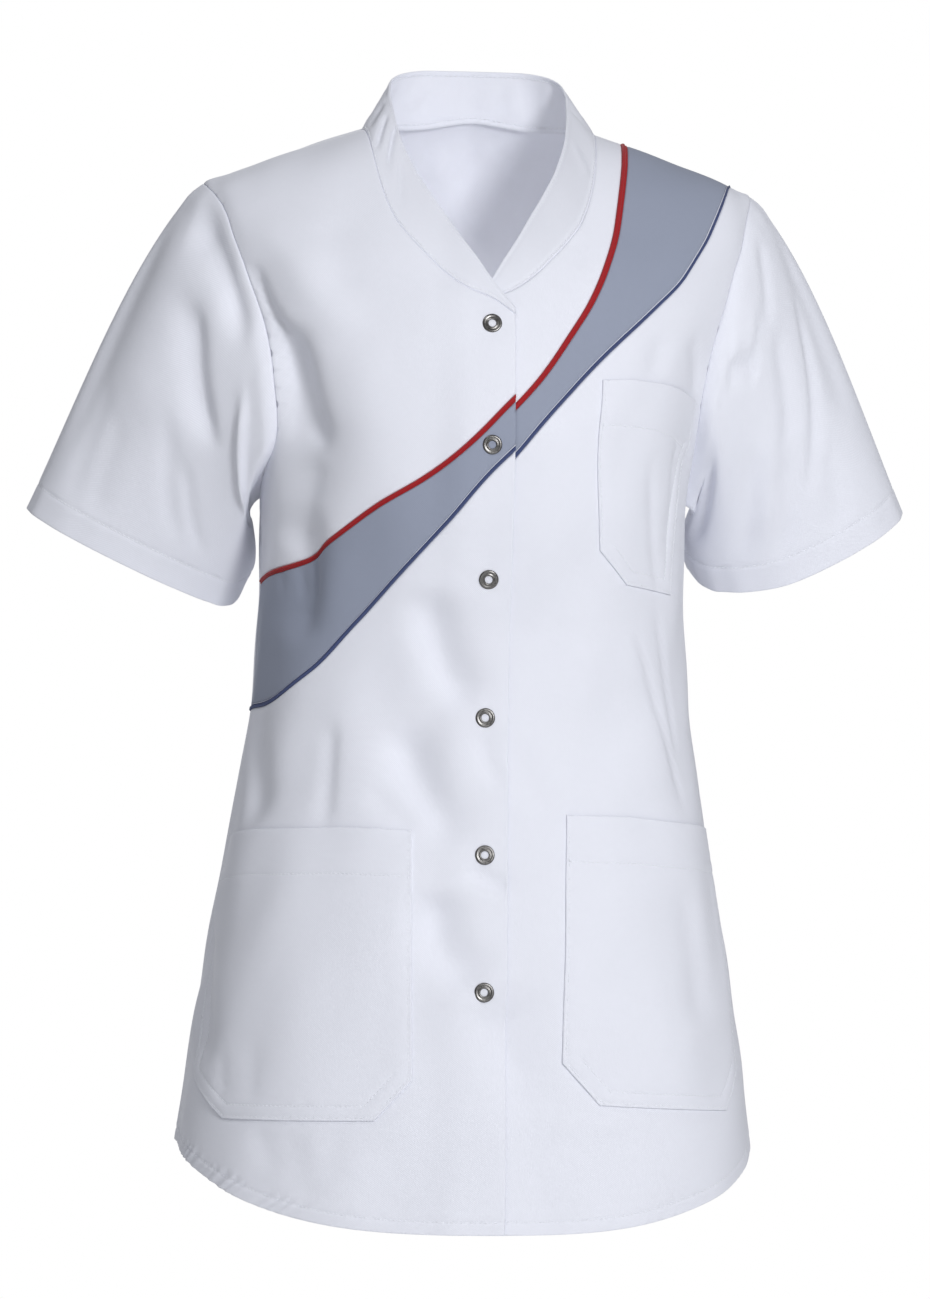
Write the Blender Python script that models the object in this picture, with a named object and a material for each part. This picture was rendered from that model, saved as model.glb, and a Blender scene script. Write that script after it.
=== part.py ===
"""Short-sleeved work tunic with a snap front, filled out as worn.

Metres, +Z up, +X to the wearer's left, the front faces -Y. The origin is the middle of the
neck base, level with the points where the shoulder seams meet the collar.

The body is one smooth form. A place on it is an angle round the body (0 at the centre
front, +-90 degrees at the side seams, 180 at the centre back) and a run, the length up the
cloth. Every body piece is an outline on that form, filled with triangles and given a wall.
"""
import math

import bmesh
import bpy
import numpy as np
from mathutils import Vector
from mathutils.geometry import delaunay_2d_cdt

# ---------------------------------------------------------------- driving sizes
CLOTH = 0.0012            # wall of a single cloth piece
DOUBLE_CLOTH = 0.0014     # wall of the collar, two layers and a stiffener
SEAM_GAP = 0.0003         # clearance between neighbouring pieces
LAP_GAP = 0.0009          # clearance between the two fronts where they lap
LAP_STEP = CLOTH + LAP_GAP
FACET = 0.021             # usual distance between points on a body piece
BAND_FACET = 0.0128       # distance between points along the seams of the band
NECK_FACET = 0.0112       # and along the neck seam
# Clearances between points of one piece, as shares of FACET.
GRID_TO_EDGE = 0.45
GRID_TO_GUIDE = 0.7
GUIDE_TO_EDGE = 0.25
LATTICE_TO_END = 0.3
PLACE_STEPS = 50          # halvings that find a place by its height
CURVE_STEPS = 400         # points on a smooth curve before they are spaced evenly
MITRE_LIMIT = 0.4         # outlines that shrink keep their sharp corners this blunt
SMOOTH_ANGLE = math.radians(40)   # sharper edges than this stay crisp
SQUARENESS = 2.35         # 2 is an ellipse, more is squarer
SHOULDER_BEND = 1.3       # how the shoulder line falls from the neck to its tip
FLAT_RADIUS = 0.135       # radius that turns the angle round the body into a length

LAP = 0.0145              # front edges reach this far past the centre front
LAP_BLEND = 0.022         # width over which the outer lap rises over the inner one
PIPING_WIDTH = 0.0042
PIPING_PROUD = 0.0007     # piping stands this far out of the cloth
PIPING_FADE = 0.010       # and sinks over this width before it goes under the lap
SHOULDER_RUN = 0.036      # the shoulder seam
SHOULDER_RIDGE = 0.003    # the form is rounded this far to each side of the shoulder seam
UNDERARM_RUN = -0.240

SNAP_RADIUS = 0.0061
SNAP_HOLE = 0.0025
SNAP_HEIGHT = 0.0013
SNAP_SEAT = 0.0006        # clearance under a snap, for the flat faces of the cloth
SNAP_STEPS = 16
# Cross-section of a snap's ring: share of the way from its hole to its rim, and share
# of its height.
SNAP_SECTION = (
    (0.0, 0.0),
    (1.0, 0.0),
    (1.0, 0.45),
    (0.76, 1.0),
    (0.21, 0.8),
    (0.0, 0.4),
)
SNAP_HEIGHTS = (-0.133, -0.209, -0.2925, -0.3795, -0.465, -0.550)

# Rings up the body. run: length up the cloth; height: level of the ring at the centre
# front; half_width, front, back: reach to the side, the front and the back; drop: fall
# of the ring from the middle to its side; back_rise: extra height in the middle of the back.
RING_COLUMNS = ("run", "height", "half_width", "front", "back", "drop", "back_rise")
RINGS = (
    (-0.750, -0.750, 0.1935, 0.152, 0.144, 0.0000, 0.000),
    (-0.664, -0.664, 0.1870, 0.147, 0.139, 0.0000, 0.000),
    (-0.600, -0.600, 0.1790, 0.142, 0.134, 0.0000, 0.000),
    (-0.540, -0.540, 0.1695, 0.137, 0.129, 0.0000, 0.000),
    (-0.480, -0.480, 0.1590, 0.130, 0.122, 0.0000, 0.000),
    (-0.420, -0.420, 0.1490, 0.121, 0.111, 0.0000, 0.000),
    (-0.370, -0.370, 0.1415, 0.115, 0.103, 0.0000, 0.000),
    (-0.330, -0.330, 0.1385, 0.117, 0.101, 0.0000, 0.000),
    (-0.290, -0.290, 0.1370, 0.125, 0.103, 0.0000, 0.000),
    (-0.240, -0.240, 0.1385, 0.134, 0.109, 0.0000, 0.000),
    (-0.205, -0.205, 0.1430, 0.135, 0.112, 0.0000, 0.000),
    (-0.175, -0.175, 0.1530, 0.131, 0.113, 0.0000, 0.000),
    (-0.130, -0.130, 0.1660, 0.121, 0.112, 0.0000, 0.002),
    (-0.096, -0.096, 0.1750, 0.108, 0.107, 0.0000, 0.006),
    (-0.065, -0.065, 0.1800, 0.091, 0.095, 0.0060, 0.012),
    (-0.041, -0.036, 0.1805, 0.074, 0.080, 0.0190, 0.020),
    (-0.018, -0.013, 0.1800, 0.056, 0.062, 0.0320, 0.021),
    (0.0015, 0.004, 0.1790, 0.037, 0.040, 0.0440, 0.015),
    (0.0190, 0.014, 0.1780, 0.019, 0.020, 0.0520, 0.007),
    (0.0360, 0.0185, 0.1770, 0.000, 0.000, 0.0565, 0.000),
)

# Neck seam from the shoulder seam down the front and past the centre (side, height).
NECK_FRONT = (
    (0.0680, -0.040),
    (0.0600, -0.0635),
    (0.0480, -0.080),
    (0.0395, -0.089),
    (0.0285, -0.100),
    (0.0150, -0.110),
    (0.0000, -0.1165),
    (-LAP, -0.127),
)
NECK_SIDE = 0.076         # half the neck's width at the shoulder seams
# Neck seam from the shoulder seam to the centre back (side, run).
NECK_BACK = (
    (0.0740, 0.022),
    (0.0610, 0.004),
    (0.0360, -0.008),
    (0.0000, -0.012),
)
# Collar's free edge, a row for each row of the neck seam, from the centre back round
# to the front end (side, depth, height). The last row is worked out from the seam.
COLLAR_EDGE = (
    (0.0000, 0.0520, 0.0450),
    (0.0290, 0.0490, 0.0445),
    (0.0480, 0.0370, 0.0405),
    (0.0560, 0.0220, 0.0330),
    (0.0575, 0.0060, 0.0240),
    (0.0535, -0.0310, -0.0060),
    (0.0455, -0.0520, -0.0290),
    (0.0345, -0.0700, -0.0490),
    (0.0265, -0.0800, -0.0620),
    (0.0180, -0.0925, -0.0760),
    (0.0080, -0.1025, -0.0910),
    (0.0000, -0.1108, -0.1040),
)
COLLAR_END = 0.0045       # width of the collar at its front ends
COLLAR_FOOT = 0.0010      # the collar starts this far from the neck seam
COLLAR_SINK = 0.0009      # its inner end lies this much deeper under the lap
COLLAR_ROWS = 2

# Armhole seam from the shoulder tip to the underarm (side, height), front and back.
ARMHOLE_FRONT = (
    (0.1660, -0.068),
    (0.1555, -0.102),
    (0.1465, -0.134),
    (0.1395, -0.172),
    (0.1365, -0.206),
)
ARMHOLE_SHIFT = 0.004     # as worn, both armholes sit this far to the wearer's left
ARMHOLE_BACK = (
    (0.1680, -0.072),
    (0.1600, -0.110),
    (0.1510, -0.152),
    (0.1430, -0.192),
    (0.1380, -0.220),
)

# Red and blue seams of the band on each front (side, height), from the side or the
# shoulder seam to the front edge.
RED_RIGHT = (
    (-0.1366, -0.2950),
    (-0.1174, -0.2831),
    (-0.0990, -0.2700),
    (-0.0697, -0.2475),
    (-0.0419, -0.2305),
    (-0.0250, -0.2180),
    (-0.0071, -0.2018),
    (LAP, -0.1795),
)
BLUE_RIGHT = (
    (-0.1420, -0.3775),
    (-0.1331, -0.3710),
    (-0.1090, -0.3515),
    (-0.0817, -0.3205),
    (-0.0545, -0.2885),
    (-0.0271, -0.2572),
    (-0.0022, -0.2272),
    (LAP, -0.2105),
)
RED_LEFT = (
    (0.0949, -0.007),
    (0.0908, -0.0235),
    (0.0836, -0.0612),
    (0.0749, -0.0914),
    (0.0637, -0.1170),
    (0.0500, -0.1390),
    (0.0325, -0.1645),
    (LAP, -0.1850),
    (-LAP, -0.2130),
)
BLUE_LEFT = (
    (0.1655, -0.034),
    (0.1521, -0.0528),
    (0.1393, -0.0773),
    (0.1254, -0.0985),
    (0.1059, -0.1185),
    (0.0718, -0.1506),
    (0.0427, -0.1819),
    (LAP, -0.2155),
    (-LAP, -0.2500),
)

HEM_SIDE_RUN = -0.657
HEM_FRONT_DROP = 0.043    # the hem hangs this much lower at the centre front
HEM_BACK_DROP = 0.038
HEM_CURVE = 3.2           # the larger, the flatter the hem between its rounded sides

# Pocket outlines, corners in order (side, height).
POCKET_RIGHT = (
    (-0.1546, -0.459),
    (-0.1407, -0.4530),
    (-0.0894, -0.4490),
    (-0.0453, -0.4500),
    (-0.0440, -0.6045),
    (-0.0673, -0.6303),
    (-0.1590, -0.6345),
    (-0.1755, -0.6120),
    (-0.1674, -0.5290),
)
POCKET_LEFT = (
    (0.0516, -0.4395),
    (0.0925, -0.4407),
    (0.1210, -0.4442),
    (0.1510, -0.4500),
    (0.1700, -0.6030),
    (0.1600, -0.6275),
    (0.0740, -0.6200),
    (0.0495, -0.5935),
)
POCKET_CHEST = (
    (0.0700, -0.1665),
    (0.0883, -0.1657),
    (0.1110, -0.1670),
    (0.1261, -0.1703),
    (0.1390, -0.1765),
    (0.1350, -0.2040),
    (0.1300, -0.2150),
    (0.1240, -0.2440),
    (0.1205, -0.3000),
    (0.0892, -0.2945),
    (0.0707, -0.2735),
)

# Sleeve: the cuff is an ellipse, and the cloth runs to it from the armhole seam.
CUFF_CENTRE = (0.2185, 0.042, -0.279)
CUFF_HALF_WIDTH = 0.077
CUFF_HALF_DEPTH = 0.046
SLEEVE_AXIS = (0.425, 0.200, -0.883)
SLEEVE_STEPS = 32
SLEEVE_ROWS = 9
SLEEVE_FOOT = 0.0011      # the sleeve starts this far from the armhole seam
# How the cloth leaves the armhole (out, back, up) and how far that carries it.
HEAD_COLUMNS = ("turn", "out", "back", "up", "reach")
SLEEVE_HEAD = (
    (0.0, 0.80, 0.05, -0.60, 0.150),
    (90.0, 0.62, -0.25, -0.74, 0.120),
    (180.0, 0.90, 0.02, -0.42, 0.066),
    (215.0, 0.90, 0.12, -0.42, 0.080),
    (270.0, 0.66, 0.35, -0.66, 0.120),
    (360.0, 0.80, 0.05, -0.60, 0.150),
)
CUFF_REACH = 0.120
# How much higher than the ellipse each cuff is at these turns.
CUFF_RISE_COLUMNS = ("turn", "right", "left")
CUFF_RISE = (
    (0.0, -0.002, 0.006),
    (90.0, 0.000, 0.002),
    (140.0, 0.000, 0.014),
    (180.0, 0.008, 0.030),
    (220.0, 0.004, 0.014),
    (270.0, 0.000, 0.004),
    (360.0, -0.002, 0.006),
)

# Largest soft folds of the body: from and to (angle in degrees, run), width and depth.
# Angles past 90 degrees lie on the back, and those past 180 on its right half.
# A positive depth is a trough, a negative one a ridge.
FOLD_COLUMNS = ("angle_a", "run_a", "angle_b", "run_b", "width", "depth")
FOLDS = (
    (-62.0, -0.095, -47.0, -0.190, 0.020, 0.0035),
    (-44.0, -0.150, -50.0, -0.260, 0.026, 0.0040),
    (-34.0, -0.330, -16.0, -0.440, 0.030, 0.0035),
    (-50.0, -0.370, -36.0, -0.470, 0.028, 0.0030),
    (52.0, -0.120, 60.0, -0.235, 0.022, 0.0030),
    (40.0, -0.350, 30.0, -0.450, 0.030, 0.0025),
    (128.0, -0.110, 140.0, -0.260, 0.030, 0.0040),
    (232.0, -0.120, 220.0, -0.250, 0.030, 0.0040),
    (158.0, -0.330, 172.0, -0.450, 0.034, 0.0040),
    (210.0, -0.350, 194.0, -0.480, 0.034, 0.0035),
)

WHITE = (0.80, 0.81, 0.87)
SLATE = (0.27, 0.31, 0.40)
RED = (0.42, 0.015, 0.02)
BLUE = (0.07, 0.09, 0.20)
NICKEL = (0.22, 0.22, 0.23)
CLOTH_ROUGHNESS = 0.8
NICKEL_ROUGHNESS = 0.3


# ---------------------------------------------------------------- smooth curves
def slopes(knots, values):
    """Slopes of a smooth curve through the values that never overshoots them."""
    steps = np.diff(knots)
    rises = np.diff(values) / steps
    middle = np.zeros(len(values))
    for i in range(1, len(values) - 1):
        if rises[i - 1] * rises[i] > 0:
            before = 2 * steps[i] + steps[i - 1]
            after = steps[i] + 2 * steps[i - 1]
            middle[i] = (before + after) / (before / rises[i - 1] + after / rises[i])
    middle[0] = rises[0]
    middle[-1] = rises[-1]
    return middle


def smooth(knots, values, at):
    """Read the smooth curve through (knots, values) at the given places."""
    knots = np.asarray(knots, float)
    values = np.asarray(values, float)
    at = np.clip(np.asarray(at, float), knots[0], knots[-1])
    slope = slopes(knots, values)
    i = np.clip(np.searchsorted(knots, at, side="right") - 1, 0, len(knots) - 2)
    step = knots[i + 1] - knots[i]
    s = (at - knots[i]) / step
    start = (1 + 2 * s) * (1 - s) ** 2 * values[i] + s * (1 - s) ** 2 * step * slope[i]
    end = s * s * (3 - 2 * s) * values[i + 1] + s * s * (s - 1) * step * slope[i + 1]
    return start + end


def lengths_along(points):
    """Length of the line through the points, up to each of them."""
    steps = np.linalg.norm(np.diff(np.asarray(points, float), axis=0), axis=1)
    return np.r_[0.0, np.cumsum(steps)]


def fine_curve(points):
    """Many points on a smooth curve through the given points."""
    lengths = lengths_along(points)
    fine = np.linspace(0.0, lengths[-1], CURVE_STEPS)
    return np.stack([smooth(lengths, column, fine) for column in np.array(points).T], axis=1)


def even_count(points, count):
    """The given number of points, evenly spaced on a smooth curve through the points."""
    curve = fine_curve(points)
    run = lengths_along(curve)
    even = np.linspace(0.0, run[-1], count)
    return np.stack([np.interp(even, run, column) for column in curve.T], axis=1)


def even_steps(points, step):
    """Points about one step apart on a smooth curve through the given points."""
    total = lengths_along(fine_curve(points))[-1]
    return even_count(points, int(round(total / step)) + 1)


# ---------------------------------------------------------------- the body's form
RING = {name: np.array([row[i] for row in RINGS]) for i, name in enumerate(RING_COLUMNS)}


def ring(name, run):
    """One size of the body's ring at a run."""
    return smooth(RING["run"], RING[name], run)


def fold_depth(angle, run):
    """Depth of the soft folds at a place on the body."""
    across = np.asarray(angle) * FLAT_RADIUS
    depth = np.zeros_like(across)
    for row in FOLDS:
        fold = dict(zip(FOLD_COLUMNS, row))
        start = np.array([math.radians(fold["angle_a"]) * FLAT_RADIUS, fold["run_a"]])
        end = np.array([math.radians(fold["angle_b"]) * FLAT_RADIUS, fold["run_b"]])
        along = end - start
        length = np.linalg.norm(along)
        along = along / length
        s = ((across - start[0]) * along[0] + (run - start[1]) * along[1]) / length
        away = (across - start[0]) * along[1] - (run - start[1]) * along[0]
        fade = np.clip(s, 0.0, 1.0) * np.clip(1.0 - s, 0.0, 1.0) * 4.0
        depth = depth + fold["depth"] * fade * np.exp(-(away / fold["width"]) ** 2)
    return depth


def form(angle, run):
    """Points of the smooth body without its folds."""
    sine = np.sin(angle)
    cosine = np.cos(angle)
    scale = (np.abs(sine) ** SQUARENESS + np.abs(cosine) ** SQUARENESS) ** (-1 / SQUARENESS)
    side = scale * sine
    is_back = cosine < 0
    depth = np.where(is_back, ring("back", run), ring("front", run))
    fall = np.abs(side) ** SHOULDER_BEND
    rise = np.where(is_back, ring("back_rise", run) * (1 - fall), 0.0)
    x = ring("half_width", run) * side
    y = -depth * scale * cosine
    z = ring("height", run) - ring("drop", run) * fall + rise
    return np.stack([x, y, z], axis=-1)


def normals(angle, run):
    """Outward directions of the smooth body."""
    step = 0.0004
    turn = step / FLAT_RADIUS
    run = np.clip(run, RINGS[0][0] + step, SHOULDER_RUN - SHOULDER_RIDGE)
    low = run - step
    high = run + step
    around = form(angle + turn, run) - form(angle - turn, run)
    up = form(angle, high) - form(angle, low)
    across = np.cross(around, up)
    return across / np.linalg.norm(across, axis=-1, keepdims=True)


def body(angle, run, lift=0.0):
    """Points of the body's outer face with its folds, moved out by the lift."""
    angle = np.asarray(angle, float)
    run = np.asarray(run, float)
    out = np.asarray(lift) - fold_depth(angle, run)
    return form(angle, run) + normals(angle, run) * out[..., None]


def angle_at(side, run, on_back=False):
    """Angle round the body of the place that lies the given way to the side."""
    share = np.clip(np.abs(side) / ring("half_width", run), 0.0, 1.0)
    ahead = (1 - share ** SQUARENESS) ** (1 / SQUARENESS)
    angle = np.arctan2(share, -ahead if on_back else ahead)
    return np.where(np.asarray(side) < 0, -angle, angle)


def place(side, height, on_back=False):
    """Angle and run of the place at the given side and height."""
    low = RINGS[0][0]
    high = SHOULDER_RUN
    for _ in range(PLACE_STEPS):
        run = (low + high) / 2
        angle = float(angle_at(side, run, on_back))
        if form(np.array(angle), np.array(run))[2] < height:
            low = run
        else:
            high = run
    return angle, (low + high) / 2


def flat(angle, run):
    """The place as a point on the unrolled body."""
    return (float(angle) * FLAT_RADIUS, float(run))


# ---------------------------------------------------------------- seams and edges
def shoulder_place(side):
    """Place on the shoulder seam, the given way to the side."""
    return flat(angle_at(side, SHOULDER_RUN), SHOULDER_RUN)


def mirrored(points):
    """The rows with their side the other way."""
    return [(-x, *rest) for x, *rest in points]


def neck_places(side):
    """Places of the front neck seam's rows, from the shoulder to the end of the lap."""
    rows = NECK_FRONT if side > 0 else mirrored(NECK_FRONT)
    return [shoulder_place(side * NECK_SIDE)] + [flat(*place(x, z)) for x, z in rows]


def neck_curve(side):
    """Front neck seam, from the shoulder to the end of the lap."""
    return even_steps(neck_places(side), NECK_FACET)


def back_places():
    """Places of the back neck seam's rows, from the left shoulder to the centre back."""
    rows = ((NECK_SIDE, SHOULDER_RUN), *NECK_BACK)
    return [(back_angle(side, run) * FLAT_RADIUS, run) for side, run in rows]


def neck_back_curve():
    """Back neck seam, from the left shoulder to the right one."""
    left = even_steps(back_places(), NECK_FACET)
    right = left[-2::-1] * (-1, 1) + (2 * math.pi * FLAT_RADIUS, 0)
    return np.vstack([left, right])


def back_angle(side, run):
    """Angle on the back, from 90 degrees at the left seam to 270 at the right one."""
    angle = float(angle_at(side, run, True))
    return angle if angle >= 0 else angle + 2 * math.pi


def armhole_curve(side, on_back=False):
    """Armhole seam, from the shoulder tip to the underarm."""
    rows = ARMHOLE_BACK if on_back else ARMHOLE_FRONT
    quarter = math.pi / 2 * FLAT_RADIUS
    places = [(quarter, SHOULDER_RUN)]
    places += [flat(*place(x + side * ARMHOLE_SHIFT, z, on_back)) for x, z in rows]
    places += [(quarter, UNDERARM_RUN)]
    curve = even_count(places, SLEEVE_STEPS // 2 + 1)
    if side < 0:
        curve[:, 0] = (2 * math.pi * FLAT_RADIUS if on_back else 0.0) - curve[:, 0]
    return curve


def straight(start, end):
    """Points on a straight line in the unrolled plane."""
    start = np.asarray(start, float)
    end = np.asarray(end, float)
    count = max(2, int(round(np.linalg.norm(end - start) / FACET)) + 1)
    return start + (end - start) * np.linspace(0, 1, count)[:, None]


def lattice_runs(run_a, run_b):
    """Runs that both fronts share, between two others."""
    low = min(run_a, run_b) + FACET * LATTICE_TO_END
    high = max(run_a, run_b) - FACET * LATTICE_TO_END
    runs = np.arange(math.ceil(low / FACET), math.floor(high / FACET) + 1) * FACET
    return runs if run_a < run_b else runs[::-1]


def edge_at_side(side, run_a, run_b):
    """Vertical edge of a front, the same way to the side all along."""
    runs = np.r_[run_a, lattice_runs(run_a, run_b), run_b]
    return np.stack([angle_at(side, runs) * FLAT_RADIUS, runs], axis=1)


def lap_guides(outline):
    """Points that both fronts share where they lap, so that their faces match there."""
    runs = lattice_runs(outline[:, 1].min(), outline[:, 1].max())
    points = [flat(angle_at(side, run), run) for run in runs for side in (-LAP, 0.0, LAP)]
    points = np.array(points)
    points = points[inside(points, outline)]
    return points[distance_to(points, outline) > FACET * GUIDE_TO_EDGE]


def hem_run(angle):
    """Run of the curved hem, which is highest at the side seams."""
    drop = np.where(np.cos(angle) > 0, HEM_FRONT_DROP, HEM_BACK_DROP)
    return HEM_SIDE_RUN - drop * (1 - np.abs(np.sin(angle)) ** HEM_CURVE)


def hem_curve(angle_a, angle_b):
    """The hem between two angles."""
    count = int(round(abs(angle_b - angle_a) * FLAT_RADIUS / FACET)) + 1
    angles = np.linspace(angle_a, angle_b, count)
    return np.stack([angles * FLAT_RADIUS, hem_run(angles)], axis=1)


def aside(curve, distance):
    """The curve moved to its left by the distance."""
    ahead = np.gradient(curve, axis=0)
    ahead = ahead / np.linalg.norm(ahead, axis=1, keepdims=True)
    return curve + np.stack([-ahead[:, 1], ahead[:, 0]], axis=1) * distance


def trimmed(curve, start_axis, start_value, edge_side, margin=0.0):
    """The curve with its ends carried on, or cut back, to the piece's other edges.

    It starts on the side seam or the shoulder seam, where the coordinate start_axis has
    the start value, and ends on the front edge. The margin keeps both ends short.
    """
    curve = np.array(curve)
    ahead = curve[1] - curve[0]
    curve[0] += ahead * (start_value - curve[0][start_axis]) / ahead[start_axis]
    ahead = curve[-1] - curve[-2]
    edge = float(angle_at(edge_side, curve[-1][1])) * FLAT_RADIUS
    curve[-1] += ahead * (edge - curve[-1][0]) / ahead[0]
    curve[0] += unit(curve[1] - curve[0]) * margin
    curve[-1] += unit(curve[-2] - curve[-1]) * margin
    return curve


def unit(vector):
    """The vector, or each row of vectors, made one long."""
    vector = np.asarray(vector, float)
    return vector / np.linalg.norm(vector, axis=-1, keepdims=True)


def joined(*curves):
    """One closed outline from curves that follow each other."""
    points = []
    for curve in curves:
        for point in curve:
            if not points or math.dist(point, points[-1]) > SEAM_GAP * 2:
                points.append(tuple(point))
    while math.dist(points[0], points[-1]) <= SEAM_GAP * 2:
        points.pop()
    return np.array(points)


def shrunk(outline, margin):
    """The outline moved inwards by the margin."""
    area = np.sum(outline[:, 0] * np.roll(outline[:, 1], -1)
                  - outline[:, 1] * np.roll(outline[:, 0], -1))
    turn = 1.0 if area > 0 else -1.0
    before = outline - np.roll(outline, 1, axis=0)
    after = np.roll(outline, -1, axis=0) - outline
    before = before / np.linalg.norm(before, axis=1, keepdims=True)
    after = after / np.linalg.norm(after, axis=1, keepdims=True)
    inward_a = np.stack([-before[:, 1], before[:, 0]], axis=1) * turn
    inward_b = np.stack([-after[:, 1], after[:, 0]], axis=1) * turn
    mitre = inward_a + inward_b
    share = np.maximum(np.sum(mitre * inward_a, axis=1, keepdims=True), MITRE_LIMIT)
    return outline + mitre / share * margin


# ---------------------------------------------------------------- filling outlines
def inside(points, outline):
    """Which points lie inside a closed outline."""
    result = np.zeros(len(points), bool)
    ends = np.roll(outline, -1, axis=0)
    for (x1, y1), (x2, y2) in zip(outline, ends):
        crosses = (y1 > points[:, 1]) != (y2 > points[:, 1])
        if y1 == y2:
            continue
        where = x1 + (points[:, 1] - y1) / (y2 - y1) * (x2 - x1)
        result ^= crosses & (points[:, 0] < where)
    return result


def distance_to(points, outline):
    """Distance from each point to a closed outline."""
    nearest = np.full(len(points), np.inf)
    ends = np.roll(outline, -1, axis=0)
    for start, end in zip(outline, ends):
        along = end - start
        s = np.clip((points - start) @ along / max(along @ along, 1e-12), 0.0, 1.0)
        gap = np.linalg.norm(points - start - s[:, None] * along, axis=1)
        nearest = np.minimum(nearest, gap)
    return nearest


def filled(outline, inner_outlines, guides):
    """Fill an outline with triangles that follow the inner outlines and guide points."""
    low = outline.min(axis=0)
    high = outline.max(axis=0)
    columns = np.arange(low[0], high[0] + FACET, FACET)
    rows = np.arange(low[1], high[1] + FACET, FACET)
    grid = np.array([(x, y) for y in rows for x in columns])
    grid = grid[inside(grid, outline)]
    for loop in (outline, *inner_outlines):
        grid = grid[distance_to(grid, loop) > FACET * GRID_TO_EDGE]
    for guide in guides:
        grid = grid[np.linalg.norm(grid - guide, axis=1) > FACET * GRID_TO_GUIDE]
    grid = np.vstack([grid, *[[guide] for guide in guides]])
    points = [tuple(p) for p in outline]
    edges = [(i, (i + 1) % len(outline)) for i in range(len(outline))]
    for loop in inner_outlines:
        first = len(points)
        points += [tuple(p) for p in loop]
        edges += [(first + i, first + (i + 1) % len(loop)) for i in range(len(loop))]
    points += [tuple(p) for p in grid]
    result = delaunay_2d_cdt([Vector(p) for p in points], edges, [], 0, 1e-7)
    flat_points = np.array([tuple(v) for v in result[0]])
    faces = np.array(result[2])
    centres = flat_points[faces].mean(axis=1)
    return flat_points, faces[inside(centres, outline)]


# ---------------------------------------------------------------- making solids
def solid(name, outer, inner, faces, colour):
    """Closed wall between two layers of points that share their faces."""
    used = np.unique(faces)
    renumber = {int(old): new for new, old in enumerate(used)}
    faces = [[renumber[int(i)] for i in face] for face in faces]
    bm = bmesh.new()
    top = [bm.verts.new(p) for p in np.asarray(outer)[used]]
    bottom = [bm.verts.new(p) for p in np.asarray(inner)[used]]
    directed = set()
    for face in faces:
        bm.faces.new([top[i] for i in face])
        bm.faces.new([bottom[i] for i in reversed(face)])
        directed.update(zip(face, face[1:] + face[:1]))
    for a, b in sorted(directed):
        if (b, a) not in directed:
            bm.faces.new([top[b], top[a], bottom[a], bottom[b]])
    add_object(name, bm, finish(name, colour, 0.0, CLOTH_ROUGHNESS))


def add_object(name, bm, material):
    """Put the finished shape in the scene under its name."""
    bmesh.ops.triangulate(bm, faces=bm.faces[:])
    if bm.calc_volume(signed=True) < 0:
        bmesh.ops.reverse_faces(bm, faces=bm.faces)
    mesh = bpy.data.meshes.new(name)
    bm.to_mesh(mesh)
    bm.free()
    mesh.shade_smooth()
    mesh.set_sharp_from_angle(angle=SMOOTH_ANGLE)
    mesh.materials.append(material)
    bpy.context.scene.collection.objects.link(bpy.data.objects.new(name, mesh))


def finish(name, colour, metallic, roughness):
    """A plain material."""
    material = bpy.data.materials.new(name)
    material.use_nodes = True
    shader = material.node_tree.nodes["Principled BSDF"]
    shader.inputs["Base Color"].default_value = (*colour, 1.0)
    shader.inputs["Metallic"].default_value = metallic
    shader.inputs["Roughness"].default_value = roughness
    return material


def lap_share(side):
    """How far the outer lap has risen over the inner one at a distance to the side."""
    share = np.clip((side + LAP + LAP_BLEND) / LAP_BLEND, 0.0, 1.0)
    return share * share * (3 - 2 * share)


def lap_lift(points):
    """How far the outer front lies over the body's form."""
    return LAP_STEP * lap_share(form(points[:, 0] / FLAT_RADIUS, points[:, 1])[:, 0])


def panel(name, outline, colour, lifted=False, pockets=()):
    """A body piece, with the pockets that are sewn on it made from its own points."""
    outline = shrunk(outline, SEAM_GAP / 2)
    loops = [pocket_outline(corners) for _, corners in pockets]
    points, faces = filled(outline, loops, lap_guides(outline))
    angle = points[:, 0] / FLAT_RADIUS
    lift = lap_lift(points) if lifted else np.zeros(len(points))
    outer = body(angle, points[:, 1], lift)
    inner = body(angle, points[:, 1], lift - CLOTH)
    solid(name, outer, inner, faces, colour)
    for (pocket, _), loop in zip(pockets, loops):
        chosen = faces[inside(points[faces].mean(axis=1), loop)]
        outer = body(angle, points[:, 1], lift + SEAM_GAP + CLOTH)
        inner = body(angle, points[:, 1], lift + SEAM_GAP)
        solid(pocket, outer, inner, chosen, colour)


def pocket_outline(corners):
    """Pocket outline with straight sides between its corners."""
    places = np.array([flat(*place(x, z)) for x, z in corners])
    sides = [straight(a, b)[:-1] for a, b in zip(places, np.roll(places, -1, axis=0))]
    return np.concatenate(sides)


def piping(name, seam, side, colour):
    """Rounded strip along a seam, level with the cloth inside and proud outside."""
    half = PIPING_WIDTH / 2 - SEAM_GAP / 2
    outer = []
    inner = []
    # Rows across the strip: distance aside, and height of the outer face.
    section = ((-half, 0.0), (0.0, PIPING_PROUD), (half, 0.0))
    for distance, proud in section:
        row = beside(seam, distance, side, SEAM_GAP / 2)
        angle = row[:, 0] / FLAT_RADIUS
        across = form(angle, row[:, 1])[:, 0]
        if side < 0:
            lift = LAP_STEP * lap_share(across)
        else:
            lift = np.zeros(len(row))
            proud = proud * np.clip((across - LAP) / PIPING_FADE, 0.0, 1.0)
        outer.append(body(angle, row[:, 1], lift + proud))
        inner.append(body(angle, row[:, 1], lift - CLOTH))
    count = len(seam)
    faces = strip_faces(len(section), count)
    solid(name, np.concatenate(outer), np.concatenate(inner), faces, colour)


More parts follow.
